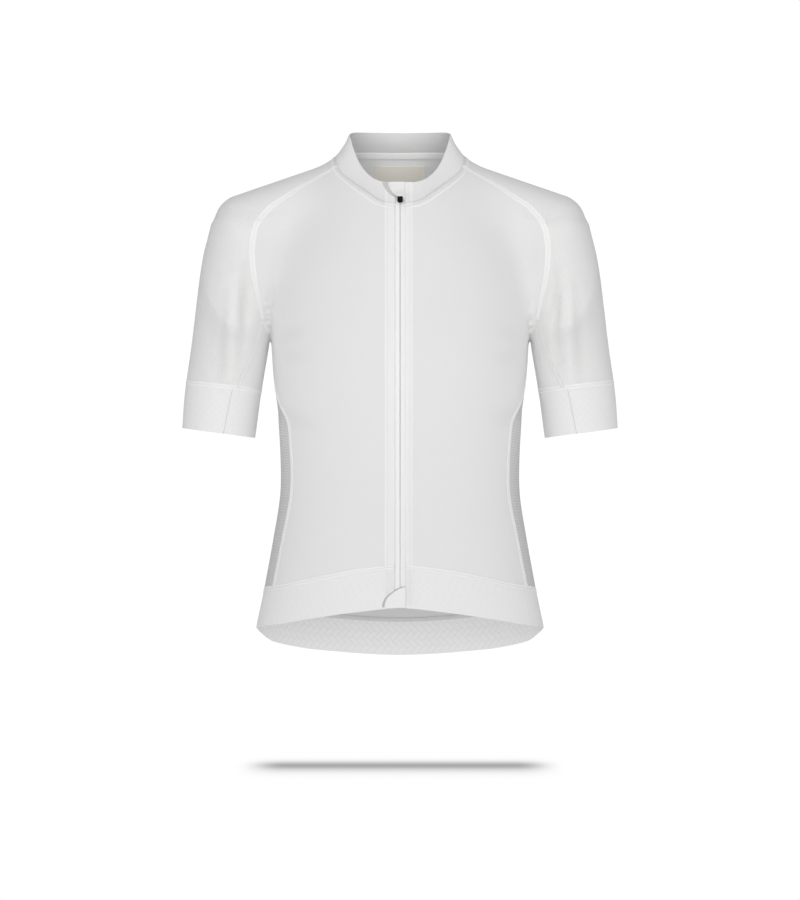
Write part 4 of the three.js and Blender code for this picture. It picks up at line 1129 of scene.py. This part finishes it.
# the collar's open end: a dark sheet laid on the collar beside the flap's edge, its darker colour painted
# shade in the gap under the flap
at, over = np.linspace(0, 1, 15)[:, None], np.linspace(0, 1, 4)
shaded_end_x, shaded_end_share = (
    sample(SHADED_OPEN_END, "share", at, near) * (1 - over) + sample(SHADED_OPEN_END, "share", at, far) * over
    for near, far in (("x", "to_x"), ("rise", "to_rise"))
)
shaded_end_share = shaded_end_share / COLLAR_HEIGHT
shaded_end_grid, shaded_end_out = collar_point(neck_turn(shaded_end_x), shaded_end_share), collar_facing(neck_turn(shaded_end_x), shaded_end_share)
shaded_end_mesh = shell("collar_open_end_shade", shaded_end_grid, shaded_end_out, SHADED_OPEN_LIFT, SHADED_OPEN_LIFT)
shaded_end_mesh.materials.append(painted_shade_knit)
worn(linked("collar_open_end_shade", shaded_end_mesh))
guard_x = spread(GUARD["x"], 25)
guard_top = sample(GUARD, "x", guard_x, "top")
guard_z = guard_top + np.linspace(0, 1, 13)[:, None] * (HEM["edge"][0] - guard_top)
guard_grid = on_front(np.broadcast_to(guard_x, guard_z.shape), guard_z)
make_cloth("zip_guard", guard_grid, flap_knit, "flap_cloth", laid_on="hem_band", **flap)
print("flaps made;", len(cloth_pieces), "pieces of cloth in all")

# %% [markdown]
# ## Seams that show
# Sportswear is joined edge to edge with a flat seam: a narrow band over the join, held by two rows of
# thread with a groove between them. Each band is a section swept along its seam. The section is a few
# rows of a width and a height, its edges dip into the cloth so that nothing floats, and every point is
# put on the form before it is raised, so the band bends with the cloth and with its folds.

# %% A band swept along a seam
FLAT_SEAM = table(
    "off height", (-1.12, -0.4), (-1, 0.16), (-0.78, 0.4), (-0.5, 0.2), (-0.16, 0.17), (0, 0.03),
    (0.16, 0.17), (0.5, 0.2), (0.78, 0.4), (1, 0.16), (1.12, -0.4),
)
ROUND_RIDGE = table(
    "off height", (-1.2, -0.4), (-0.9, 0.12), (-0.4, 0.38), (0, 0.46), (0.4, 0.38), (0.9, 0.12), (1.2, -0.4)
)
SMOOTH_JOIN = table("off height", (-1.1, -0.3), (-0.8, 0.05), (0, 0.02), (0.8, 0.05), (1.1, -0.3))
CROWN = 0.78
INNER_FACE = 1.15


def on_cloth(p, height=0.0, inside=False):
    """Points near the form, put at a height over the cloth's face, or over its back."""
    q = onto_form(p)
    out = -INNER_FACE - height if inside else height
    return q + facing(q) * (out - fold_depth(q))[..., None]


def sideways(line, closed=False):
    """For each point of a seam, a unit step across it along the cloth."""
    ahead = np.roll(line, -1, axis=0) - np.roll(line, 1, axis=0) if closed else np.gradient(line, axis=0)
    return unit(np.cross(facing(line), ahead))


def swept(line, half, section, closed, inside):
    half = np.broadcast_to(np.asarray(half, float), (len(line),))
    side = sideways(line, closed)
    off = section["off"][None, :] * half[:, None]
    base = line[:, None] + side[:, None] * off[..., None]
    rows = on_cloth(base, section["height"] + 0 * off, inside)
    gone = np.concatenate([[0], np.cumsum(np.linalg.norm(np.diff(line, axis=0), axis=1))])
    return rows, np.stack([off, gone[:, None] + 0 * off], -1) * MM


def band(name, lines, half, section, material, closed, inside):
    """One piece of seam band over one or more lines; half is its half width, alike or one for each point."""
    vertices, maps, faces, count = [], [], [], 0
    for line in lines:
        rows, cloth_uv = (closed_round(part) for part in swept(line, half, section, closed, inside))
        if closed:
            rows, cloth_uv = (np.concatenate([part, part[:1]]) for part in (rows, cloth_uv))
        many, wide = rows.shape[:2]
        faces += (count + cells_of(many, wide)).tolist()
        if not closed:
            end = count + np.arange(wide - 1)
            faces += [end.tolist(), (end + (many - 1) * wide).tolist()]
        vertices.append(rows.reshape(-1, 3))
        maps.append(cloth_uv.reshape(-1, 2))
        count += many * wide
    mesh = solid(name, np.vstack(vertices), np.vstack(maps), faces, np.zeros(count))
    mesh.materials.append(material)
    return linked(name, mesh)


print("a flat seam stands", FLAT_SEAM["height"].max(), "mm proud")

# %% The bands, one piece to a seam
RAGLAN_HALF = table(
    "share half", (0, 1.8), (0.15, 1.9), (0.28, 3), (0.4, 3.6), (0.7, 3.4), (0.9, 2), (1, 1.5)
)
SIDE_HALF = 2.3
ARM_HALF = 2.8
BAND_HALF = 2.6
NECK_RIDGE = {"down": 5.2, "half": 1.4}
NECK_HALVES = {"outside": 1.0, "inside": 1.6}
CUFF_JOIN = {"top": 106.6, "foot": 100.5}
JOIN_HALF = 0.6
GUARD_SHADE = (0.7, 1.0, 1.4, 1.9, 2.5, 3.0, 3.2, 3.2)
sewn_to = {}


def add_band(
    sheet, name, lines, half, slot="white_knit", section=FLAT_SEAM, material=seam_knit, closed=False,
    inside=False,
):
    piece = worn(band(name, lines, half, section, material, closed, inside))
    sewn_to.setdefault(sheet, []).append(piece)


below = joined(armhole_front, armhole_side, armhole_back)
raglan_share = np.linspace(0, 1, len(raglan_front))
raglan_half = sample(RAGLAN_HALF, "share", raglan_share, "half")
rest_half = np.full(len(below) - 1, RAGLAN_HALF["half"][-1])
armhole_line = joined(raglan_front, below, raglan_back[::-1])
armhole_half = np.concatenate([raglan_half, rest_half, raglan_half[::-1][1:]])
cuff_line = cuff_point(cuff_turns, 0)
hem_line = whole(hem_point(hem_turns, 0))
neck_line = whole(neck_point(neck_turns))
neck_down = unit(np.cross(np.gradient(neck_line, axis=0), facing(neck_line)))
neck_ridge = onto_form(neck_line + neck_down * NECK_RIDGE["down"])
cuff_join = cuff_point(CUFF_JOIN["top"] + shares * (CUFF_JOIN["foot"] - CUFF_JOIN["top"]), shares)
guard_rim = joined(on_front(GUARD["x"], GUARD["top"])[::-1], on_front([-18, -18.1], [-515, -518.4]))
# the cuff's join is a thin band whose darker colour is painted shade
soft_join = {"section": SMOOTH_JOIN, "material": painted_join_shade}
arm_ridge = {"section": ROUND_RIDGE, "material": sleeve_knit}
for hand in ("left", "right"):
    all_lines = [armhole_line], [arm_front, arm_back], [side_front, side_back], [cuff_line], [cuff_join]
    armhole, arms, side, cuff, join = (
        [line if hand == "left" else mirrored(line) for line in lines] for lines in all_lines
    )
    add_band(f"sleeve_{hand}", f"armhole_seam_{hand}", armhole, armhole_half)
    add_band(f"under_sleeve_{hand}", f"arm_seams_{hand}", arms, ARM_HALF, **arm_ridge)
    add_band(f"side_{hand}", f"side_seams_{hand}", side, SIDE_HALF)
    add_band(f"cuff_{hand}", f"cuff_seam_{hand}", cuff, BAND_HALF, "elastic_band", closed=True)
    add_band(f"cuff_{hand}", f"cuff_join_{hand}", join, JOIN_HALF, "elastic_band", **soft_join)
shade = {"section": SMOOTH_JOIN, "material": painted_shadow_knit}
within = {"material": overlock_shade, "inside": True}
neck_join = {"section": SMOOTH_JOIN, "material": body_knit}
ridge = {"section": ROUND_RIDGE, "material": ridge_knit}
# the guard flap's shadow on the hem band is painted as a dark band along its arc
add_band("hem_band", "guard_shade", [guard_rim], GUARD_SHADE, "elastic_band", **shade)
add_band("hem_band", "hem_seam", [hem_line], BAND_HALF, "elastic_band")
# the overlock seam inside the hem is real, and its darker colour is painted shade
add_band("hem_band", "hem_seam_inside", [hem_line], BAND_HALF, "elastic_band", **within)
add_band("collar", "neck_seam", [neck_line], NECK_HALVES["outside"], "collar_knit", **neck_join)
add_band("collar", "neck_ridge", [neck_ridge], NECK_RIDGE["half"], "collar_knit", **ridge)
ridge["inside"] = True
add_band("collar", "neck_seam_inside", [neck_line], NECK_HALVES["inside"], "collar_knit", **ridge)
print(sum(len(group_of) for group_of in sewn_to.values()), "seam bands")

# %% [markdown]
# ## Stitches and the zip's coil
# Thread is what a close look finds on a garment. Thousands of stitches would be dull to place one by one,
# so Geometry Nodes put one small stitch on each point of a row. Each point carries two directions, along
# the row and out of the cloth, and the stitch turns to them. The coil of the zip is made by the same tree,
# with its turns lying across the zip.

# %% The tree: one small rounded bar on every point
GEOMETRY, MATERIAL = "NodeSocketGeometry", "NodeSocketMaterial"
SIZES_UNEVEN = (0.88, 1.06)
bar_sockets = {
    "Points": (GEOMETRY, None),
    "Length": (NUMBER, 0.002),
    "Width": (NUMBER, 0.0007),
    "Height": (NUMBER, 0.0006),
    "Finish": (MATERIAL, None),
}
bars, given, out = group("rows_of_bars", bar_sockets, {"Bars": GEOMETRY}, kind="GeometryNodeTree")
bar = add(bars, "GeometryNodeMeshUVSphere", {"Segments": 6, "Rings": 4, "Radius": 0.5}).outputs["Mesh"]
size = add(bars, "ShaderNodeCombineXYZ", {"X": given["Length"], "Y": given["Width"], "Z": given["Height"]})
sized = add(bars, "GeometryNodeTransform", {"Geometry": bar, "Scale": size.outputs[0]}).outputs["Geometry"]
directions = [
    add(bars, "GeometryNodeInputNamedAttribute", {"Name": name}, data_type="FLOAT_VECTOR").outputs[0]
    for name in ("along", "facing")
]
turn = add(
    bars, "FunctionNodeAxesToRotation", enumerate(directions), primary_axis="X", secondary_axis="Z"
)
least, most = SIZES_UNEVEN
uneven = add(bars, "FunctionNodeRandomValue", {2: least, 3: most, "Seed": 5}, data_type="FLOAT").outputs[1]
placing = {"Points": given["Points"], "Instance": sized, "Rotation": turn.outputs[0], "Scale": uneven}
laid = add(bars, "GeometryNodeInstanceOnPoints", placing)
whole_bars = add(bars, "GeometryNodeRealizeInstances", {"Geometry": laid.outputs[0]}).outputs[0]
smooth = add(bars, "GeometryNodeSetShadeSmooth", {"Geometry": whole_bars}).outputs[0]
painted = add(bars, "GeometryNodeSetMaterial", {"Geometry": smooth, "Material": given["Finish"]})
feed(out, {"Bars": painted.outputs[0]})
print("rows_of_bars has", len(bars.nodes), "nodes")


# %% A row of points, and a piece made from rows
def row_on(path, pitch, out_of_cloth, across=False):
    """Evenly spaced points on a path, each with a direction along the row, or across it, and one outwards."""
    length = np.linalg.norm(np.diff(path, axis=0), axis=1).sum()
    count = max(int(length / pitch), 3)
    at = (np.arange(count) + 0.5) / count
    places = along(path, at)
    normals = unit(along(out_of_cloth, at))
    run = unit(np.gradient(places, axis=0))
    if across:
        run = unit(np.cross(normals, run))
    return places, run, normals


def bars_on(name, rows, length, width, height, finish, slot, sheet):
    places, run, normals = (np.concatenate(part) for part in zip(*rows))
    mesh = bpy.data.meshes.new(name)
    mesh.from_pydata((places * MM).tolist(), [], [])
    for label, values in (("along", run), ("facing", normals)):
        attribute = mesh.attributes.new(label, "FLOAT_VECTOR", "POINT").data
        attribute.foreach_set("vector", values.astype(np.float32).ravel())
    piece = linked(name, mesh)
    modifier = piece.modifiers.new("bars", "NODES")
    modifier.node_group = bars
    values = {"Length": length * MM, "Width": width * MM, "Height": height * MM, "Finish": finish}
    for socket in bars.interface.items_tree:
        if socket.in_out == "INPUT" and socket.name in values:
            modifier[socket.identifier] = values[socket.name]
    applied(piece)
    sewn_to.setdefault(sheet, []).append(worn(piece))
    print(name, len(places), "bars,", sum(len(f.vertices) - 2 for f in piece.data.polygons), "triangles")


# %% Rows of thread on both crowns of every flat seam
PITCH = 2.6
STITCH = {"length": 2.2, "width": 0.75, "height": 0.5}
CROWN_HEIGHT = 0.42
ARM_CROWN_HEIGHT = 0.2
NECK_HEIGHT = 0.5
OVERLOCK = {"lift": 0.35, "pitch": 2.3, "length": 4.4, "width": 1.5, "height": 0.8}


def raised_row(path, normals, height):
    return path + normals * (height - fold_depth(path))[..., None], normals


def crown_rows(lines, half, height=CROWN_HEIGHT):
    rows = []
    for line in lines:
        side = sideways(line) * np.broadcast_to(half, len(line))[:, None] * CROWN
        for way in (-1, 1):
            path = onto_form(line + way * side)
            rows.append(raised_row(path, facing(path), height))
    return rows


def stitch_piece(name, paths, sheet, slot="white_knit", pitch=PITCH, finish=thread, **size):
    size = {**STITCH, **size}
    rows = [row_on(path, pitch, normals) for path, normals in paths]
    bars_on(name, rows, size["length"], size["width"], size["height"], finish, slot, sheet)


def flipped(paths, hand):
    return paths if hand == "left" else [(mirrored(path), mirrored(normals)) for path, normals in paths]


armhole_rows = crown_rows([armhole_line], armhole_half)
arm_rows = crown_rows([arm_front, arm_back], ARM_HALF, height=ARM_CROWN_HEIGHT)
side_rows = crown_rows([side_front, side_back], SIDE_HALF)
cuff_rows = crown_rows([joined(cuff_line, cuff_line[:1])], BAND_HALF)
soft_row = {"finish": soft_thread, "width": 0.5}
for hand in ("left", "right"):
    stitch_piece(f"armhole_stitches_{hand}", flipped(armhole_rows, hand), f"sleeve_{hand}")
    stitch_piece(f"arm_stitches_{hand}", flipped(arm_rows, hand), f"under_sleeve_{hand}", **soft_row)
    stitch_piece(f"side_stitches_{hand}", flipped(side_rows, hand), f"side_{hand}")
    stitch_piece(f"cuff_stitches_{hand}", flipped(cuff_rows, hand), f"cuff_{hand}", "elastic_band")
stitch_piece("hem_stitches", crown_rows([hem_line], BAND_HALF), "hem_band", "elastic_band")
overlock_path = on_cloth(hem_line, OVERLOCK["lift"], inside=True)
overlock_row = row_on(overlock_path, OVERLOCK["pitch"], -facing(hem_line), across=True)
overlock_size = [OVERLOCK[key] for key in ("length", "width", "height")]
bars_on("hem_overlock", [overlock_row], *overlock_size, soft_thread, "elastic_band", "hem_band")
neck_row = raised_row(neck_ridge, facing(neck_ridge), NECK_HEIGHT)
stitch_piece("neck_stitches", [neck_row], "collar", "collar_knit")

# %% Topstitching beside the zip, on the flaps, the pockets, the neck tape and the label
ZIP_ROWS = {"left": 11.6, "right": 14.6}
ZIP_ROW_SHARES = np.linspace(0.1, 0.9, 5)
EDGE_HEIGHT = 0.12
THREAD_CLEAR = 0.05
POCKET_DIVIDERS = (-44, 44)
DIVIDER_GAP = 2.4


def zip_row(x):
    path, normals = (part[:, 0] for part in down_the_zip(np.array([x]), ZIP_ROW_SHARES, skipped=2))
    return raised_row(path, normals, EDGE_HEIGHT)


zip_size = {"pitch": 3.2, "length": 1.7, "width": 0.6, "height": 0.3, "finish": topstitch}
for hand, x in ZIP_ROWS.items():
    stitch_piece(f"zip_stitches_{hand}", flipped([zip_row(x)], hand), f"front_{hand}", **zip_size)
flap_size = {"pitch": 1.9, "length": 1.5, "width": 0.4, "height": 0.3}
flap_height = FLAP_LIFT + THREAD_CLEAR
garage_row = raised_row(garage_grid[-2], garage_out[-2], flap_height)
guard_row = raised_row(guard_grid[1], facing(guard_grid)[1], flap_height)
stitch_piece("garage_stitches", [garage_row], "zip_garage", "flap_cloth", **flap_size)
stitch_piece("guard_stitches", [guard_row], "zip_guard", "flap_cloth", **flap_size)
pocket_lines = [pocket_grid[2]]
for x in POCKET_DIVIDERS:
    column = int(np.abs(pocket_grid[2, :, 0] - x).argmin())
    pocket_lines += [pocket_grid[2:, column] + (shift, 0, 0) for shift in (0, DIVIDER_GAP)]
pocket_rows = [raised_row(line, facing(line), pocket_lift + EDGE_HEIGHT) for line in pocket_lines]
stitch_piece("pocket_stitches", pocket_rows, "back_pockets")
inner_face = TRIM_WALL + THREAD_CLEAR
tape_rows = [raised_row(line, facing(line), tape_lift - inner_face) for line in neck_tape_grid[[0, -1]]]
stitch_piece("neck_tape_stitches", tape_rows, "back", "zip_tape", length=1.7, width=0.5, height=0.35)
label_lines = [label_grid[:, column] for column in (1, -2)]
label_rows = [raised_row(line, facing(line), label_lift - inner_face) for line in label_lines]
label_size = {"pitch": 1.8, "length": 1.4, "width": 0.4, "height": 0.3}
stitch_piece("label_stitches", label_rows, "neck_label", "label_cloth", **label_size)

# %% The zip's coil, behind the tapes where they meet
COIL = {"pitch": 1.5, "length": 4.6, "width": 0.8, "height": 0.9, "lift": -3.0}
coil_path, coil_normals = zip_row(0.0)
coil_row = row_on(coil_path + coil_normals * COIL["lift"], COIL["pitch"], coil_normals, across=True)
coil_size = [COIL[key] for key in ("length", "width", "height")]
bars_on("zip_coil", [coil_row], *coil_size, coil_nylon, "zip_tape", "zip_tape_left")

# %% [markdown]
# ## The slider and its pull tab
# The hard parts of the zip keep the rigid model's shapes, because their places matter. Their sharp edges are
# only rounded, and they get a satin black finish with fine grain.

# %% A black finish, and rounded copies of the rigid parts
BLACK = (0.006, 0.006, 0.006, 1), (0.022, 0.022, 0.023, 1)
EDGE_ROUND = 0.00018
NEARLY_FLAT = math.radians(3)
black, tree, shader = new_material("black_enamel")
place = add(tree, "ShaderNodeTexCoord").outputs["Object"]
speckle = placed(tree, grain, Place=place, Cloud=260.0, Thread=2600.0)
bump = add(tree, "ShaderNodeBump", {"Height": speckle["Fuzz"], "Distance": 0.00002})
enamel = {
    "Base Color": blend(tree, speckle["Tone"], *BLACK), "Normal": bump.outputs["Normal"],
    "Roughness": calc(tree, "MULTIPLY_ADD", speckle["Tone"], 0.25, 0.45), "Specular IOR Level": 0.1,
}
feed(shader, enamel)
for node, body in (("zip_slider", "jersey"), ("zip_pull", "pull_tab")):
    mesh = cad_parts[node].data.copy()
    shaped = bmesh.new()
    shaped.from_mesh(mesh)
    bmesh.ops.remove_doubles(shaped, verts=shaped.verts, dist=0.00001)
    bmesh.ops.dissolve_limit(shaped, angle_limit=NEARLY_FLAT, verts=shaped.verts, edges=shaped.edges)
    bmesh.ops.recalc_face_normals(shaped, faces=shaped.faces)
    shaped.to_mesh(mesh)
    shaped.free()
    mesh.materials.clear()
    mesh.materials.append(black)
    piece = linked(f"{node}_finished", mesh)
    rounding = piece.modifiers.new("rounding", "BEVEL")
    rounding.width = EDGE_ROUND
    rounding.segments = 2
    rounding.limit_method = "ANGLE"
    rounding.harden_normals = True
    applied(piece)
    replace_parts(worn(piece, body), node)
    print(piece.name, len(piece.data.polygons), "faces")

# %% [markdown]
# ## Camera, light and floor
# The photograph is level and almost without perspective: a long lens three metres away, at the height of the
# waist. The light is a broad soft front, so only the edges that turn away go grey. The floor and the air
# behind are pure white to the camera, with a soft shadow painted on the floor under the jersey, and to
# everything else the floor glows as a soft light from below.

# %% The camera
CAMERA_PLACE = (0, -3.0, -0.336)
camera_data = bpy.data.cameras.new("camera")
camera_data.lens = 100
camera_data.sensor_width = 36
camera = linked("camera", camera_data)
camera.location = CAMERA_PLACE
camera.rotation_euler = (math.pi / 2, 0, 0)
bpy.context.scene.camera = camera
bpy.context.scene.view_settings.view_transform = "Standard"
print("camera at", CAMERA_PLACE)

# %% The lights
MIDDLE = (0, 0, -0.3)
BACK_OF_NECK = (0, 0.055, 0)
AREA_LIGHTS = {
    "front_light": ((0, -3.4, -0.35), (2.6, 2.4), 55),
    "left_light": ((-2.6, -1.6, 0.3), (1.6, 2.0), 9),
    "right_light": ((2.6, -1.6, 0.3), (1.6, 2.0), 9),
    "top_light": ((0, -0.1, 1.5), (0.9, 0.6), 3),
    "back_light": ((0, 3.2, 0.2), (2.6, 2.4), 30),
}


def hung_light(name, kind, place, aim, power):
    data = bpy.data.lights.new(name, kind)
    data.energy = power
    light = linked(name, data)
    light.location = place
    light.rotation_euler = (Vector(aim) - Vector(place)).to_track_quat("-Z", "Y").to_euler()
    return data


for name, (place, size, power) in AREA_LIGHTS.items():
    data = hung_light(name, "AREA", place, MIDDLE, power)
    data.shape = "RECTANGLE"
    data.size, data.size_y = size
collar_spot = hung_light("collar_light", "SPOT", (0, -0.845, 0.9), BACK_OF_NECK, 16)
collar_spot.spot_size = 0.1
collar_spot.spot_blend = 0.5
collar_spot.shadow_soft_size = 0.03

# %% The world: an even dim light on the jersey, and white air behind it
AMBIENT = 0.38
WHITE_AIR = 1.05
world = bpy.data.worlds.new("white_studio")
world.use_nodes = True
bpy.context.scene.world = world
air = world.node_tree
seen = add(air, "ShaderNodeLightPath").outputs["Is Camera Ray"]
level = calc(air, "MULTIPLY_ADD", seen, WHITE_AIR - AMBIENT, AMBIENT)
feed(air.nodes["Background"], {"Strength": level, "Color": (1, 1, 1, 1)})
print("ambient light", AMBIENT)

# %% The floor: as white as the air to the camera, with the jersey's soft shadow painted on it, and a glow that lights the jersey from below
FLOOR_Z = -0.714
FLOOR_HALF = 1.5
FLOOR_BOUNCE = 0.7
SHADOW_HALF = 0.168
SHADOW_FADE = 0.036
SHADOW_BANDS = table("depth middle width", (0.42, 0, 0.038), (0.22, -0.028, 0.055))
floor_mesh = bpy.data.meshes.new("floor")
corners = [(x * FLOOR_HALF, y * FLOOR_HALF, FLOOR_Z) for x, y in ((-1, -1), (1, -1), (1, 1), (-1, 1))]
floor_mesh.from_pydata(corners, [], [(0, 1, 2, 3)])
floor = linked("floor", floor_mesh)
floor_paint, paint, shader = new_material("floor_paint")
place = axes(paint, add(paint, "ShaderNodeTexCoord").outputs["Object"])
# painted shadow: the floor's white is dimmed in soft bands under the jersey
side = calc(paint, "SUBTRACT", calc(paint, "ABSOLUTE", place["X"]), SHADOW_HALF)
ends = ramp(paint, side, -SHADOW_FADE, SHADOW_FADE, interpolation_type="SMOOTHERSTEP")
dark = 0.0
for depth, middle, width in zip(*(values.tolist() for values in SHADOW_BANDS.values())):
    away = calc(paint, "DIVIDE", calc(paint, "SUBTRACT", place["Y"], middle), width)
    fall = calc(paint, "EXPONENT", calc(paint, "MULTIPLY", calc(paint, "MULTIPLY", away, away), -1.0))
    dark = calc(paint, "MULTIPLY_ADD", fall, depth, dark)
shown = calc(paint, "SUBTRACT", 1.0, calc(paint, "MULTIPLY", dark, ends))
# the camera sees the white with the painted shadow; every other ray sees the floor glow as a soft light from
# below
seen = add(paint, "ShaderNodeLightPath").outputs["Is Camera Ray"]
unseen = calc(paint, "SUBTRACT", 1.0, seen)
glow = calc(paint, "MULTIPLY_ADD", unseen, FLOOR_BOUNCE, calc(paint, "MULTIPLY", seen, shown))
white, ink = (1, 1, 1, 1), (0, 0, 0, 1)
matt = {"Base Color": ink, "Roughness": 1.0, "Specular IOR Level": 0.0}
feed(shader, {**matt, "Emission Strength": glow, "Emission Color": white})
floor_mesh.materials.append(floor_paint)
print("floor at", FLOOR_Z)

# %% [markdown]
# ## How each piece is cut
# The neck tape is too narrow to be called a sheet, so it is listed with the back that it is sewn to.

# %% The flat size that each piece of cloth is cut to
sewn_to["back"].append(cloth_pieces.pop("neck_tape")["piece"])
for name, cloth in cloth_pieces.items():
    print(name, "is cut", [round(size * 1000) for size in cloth["flat"]], "mm")
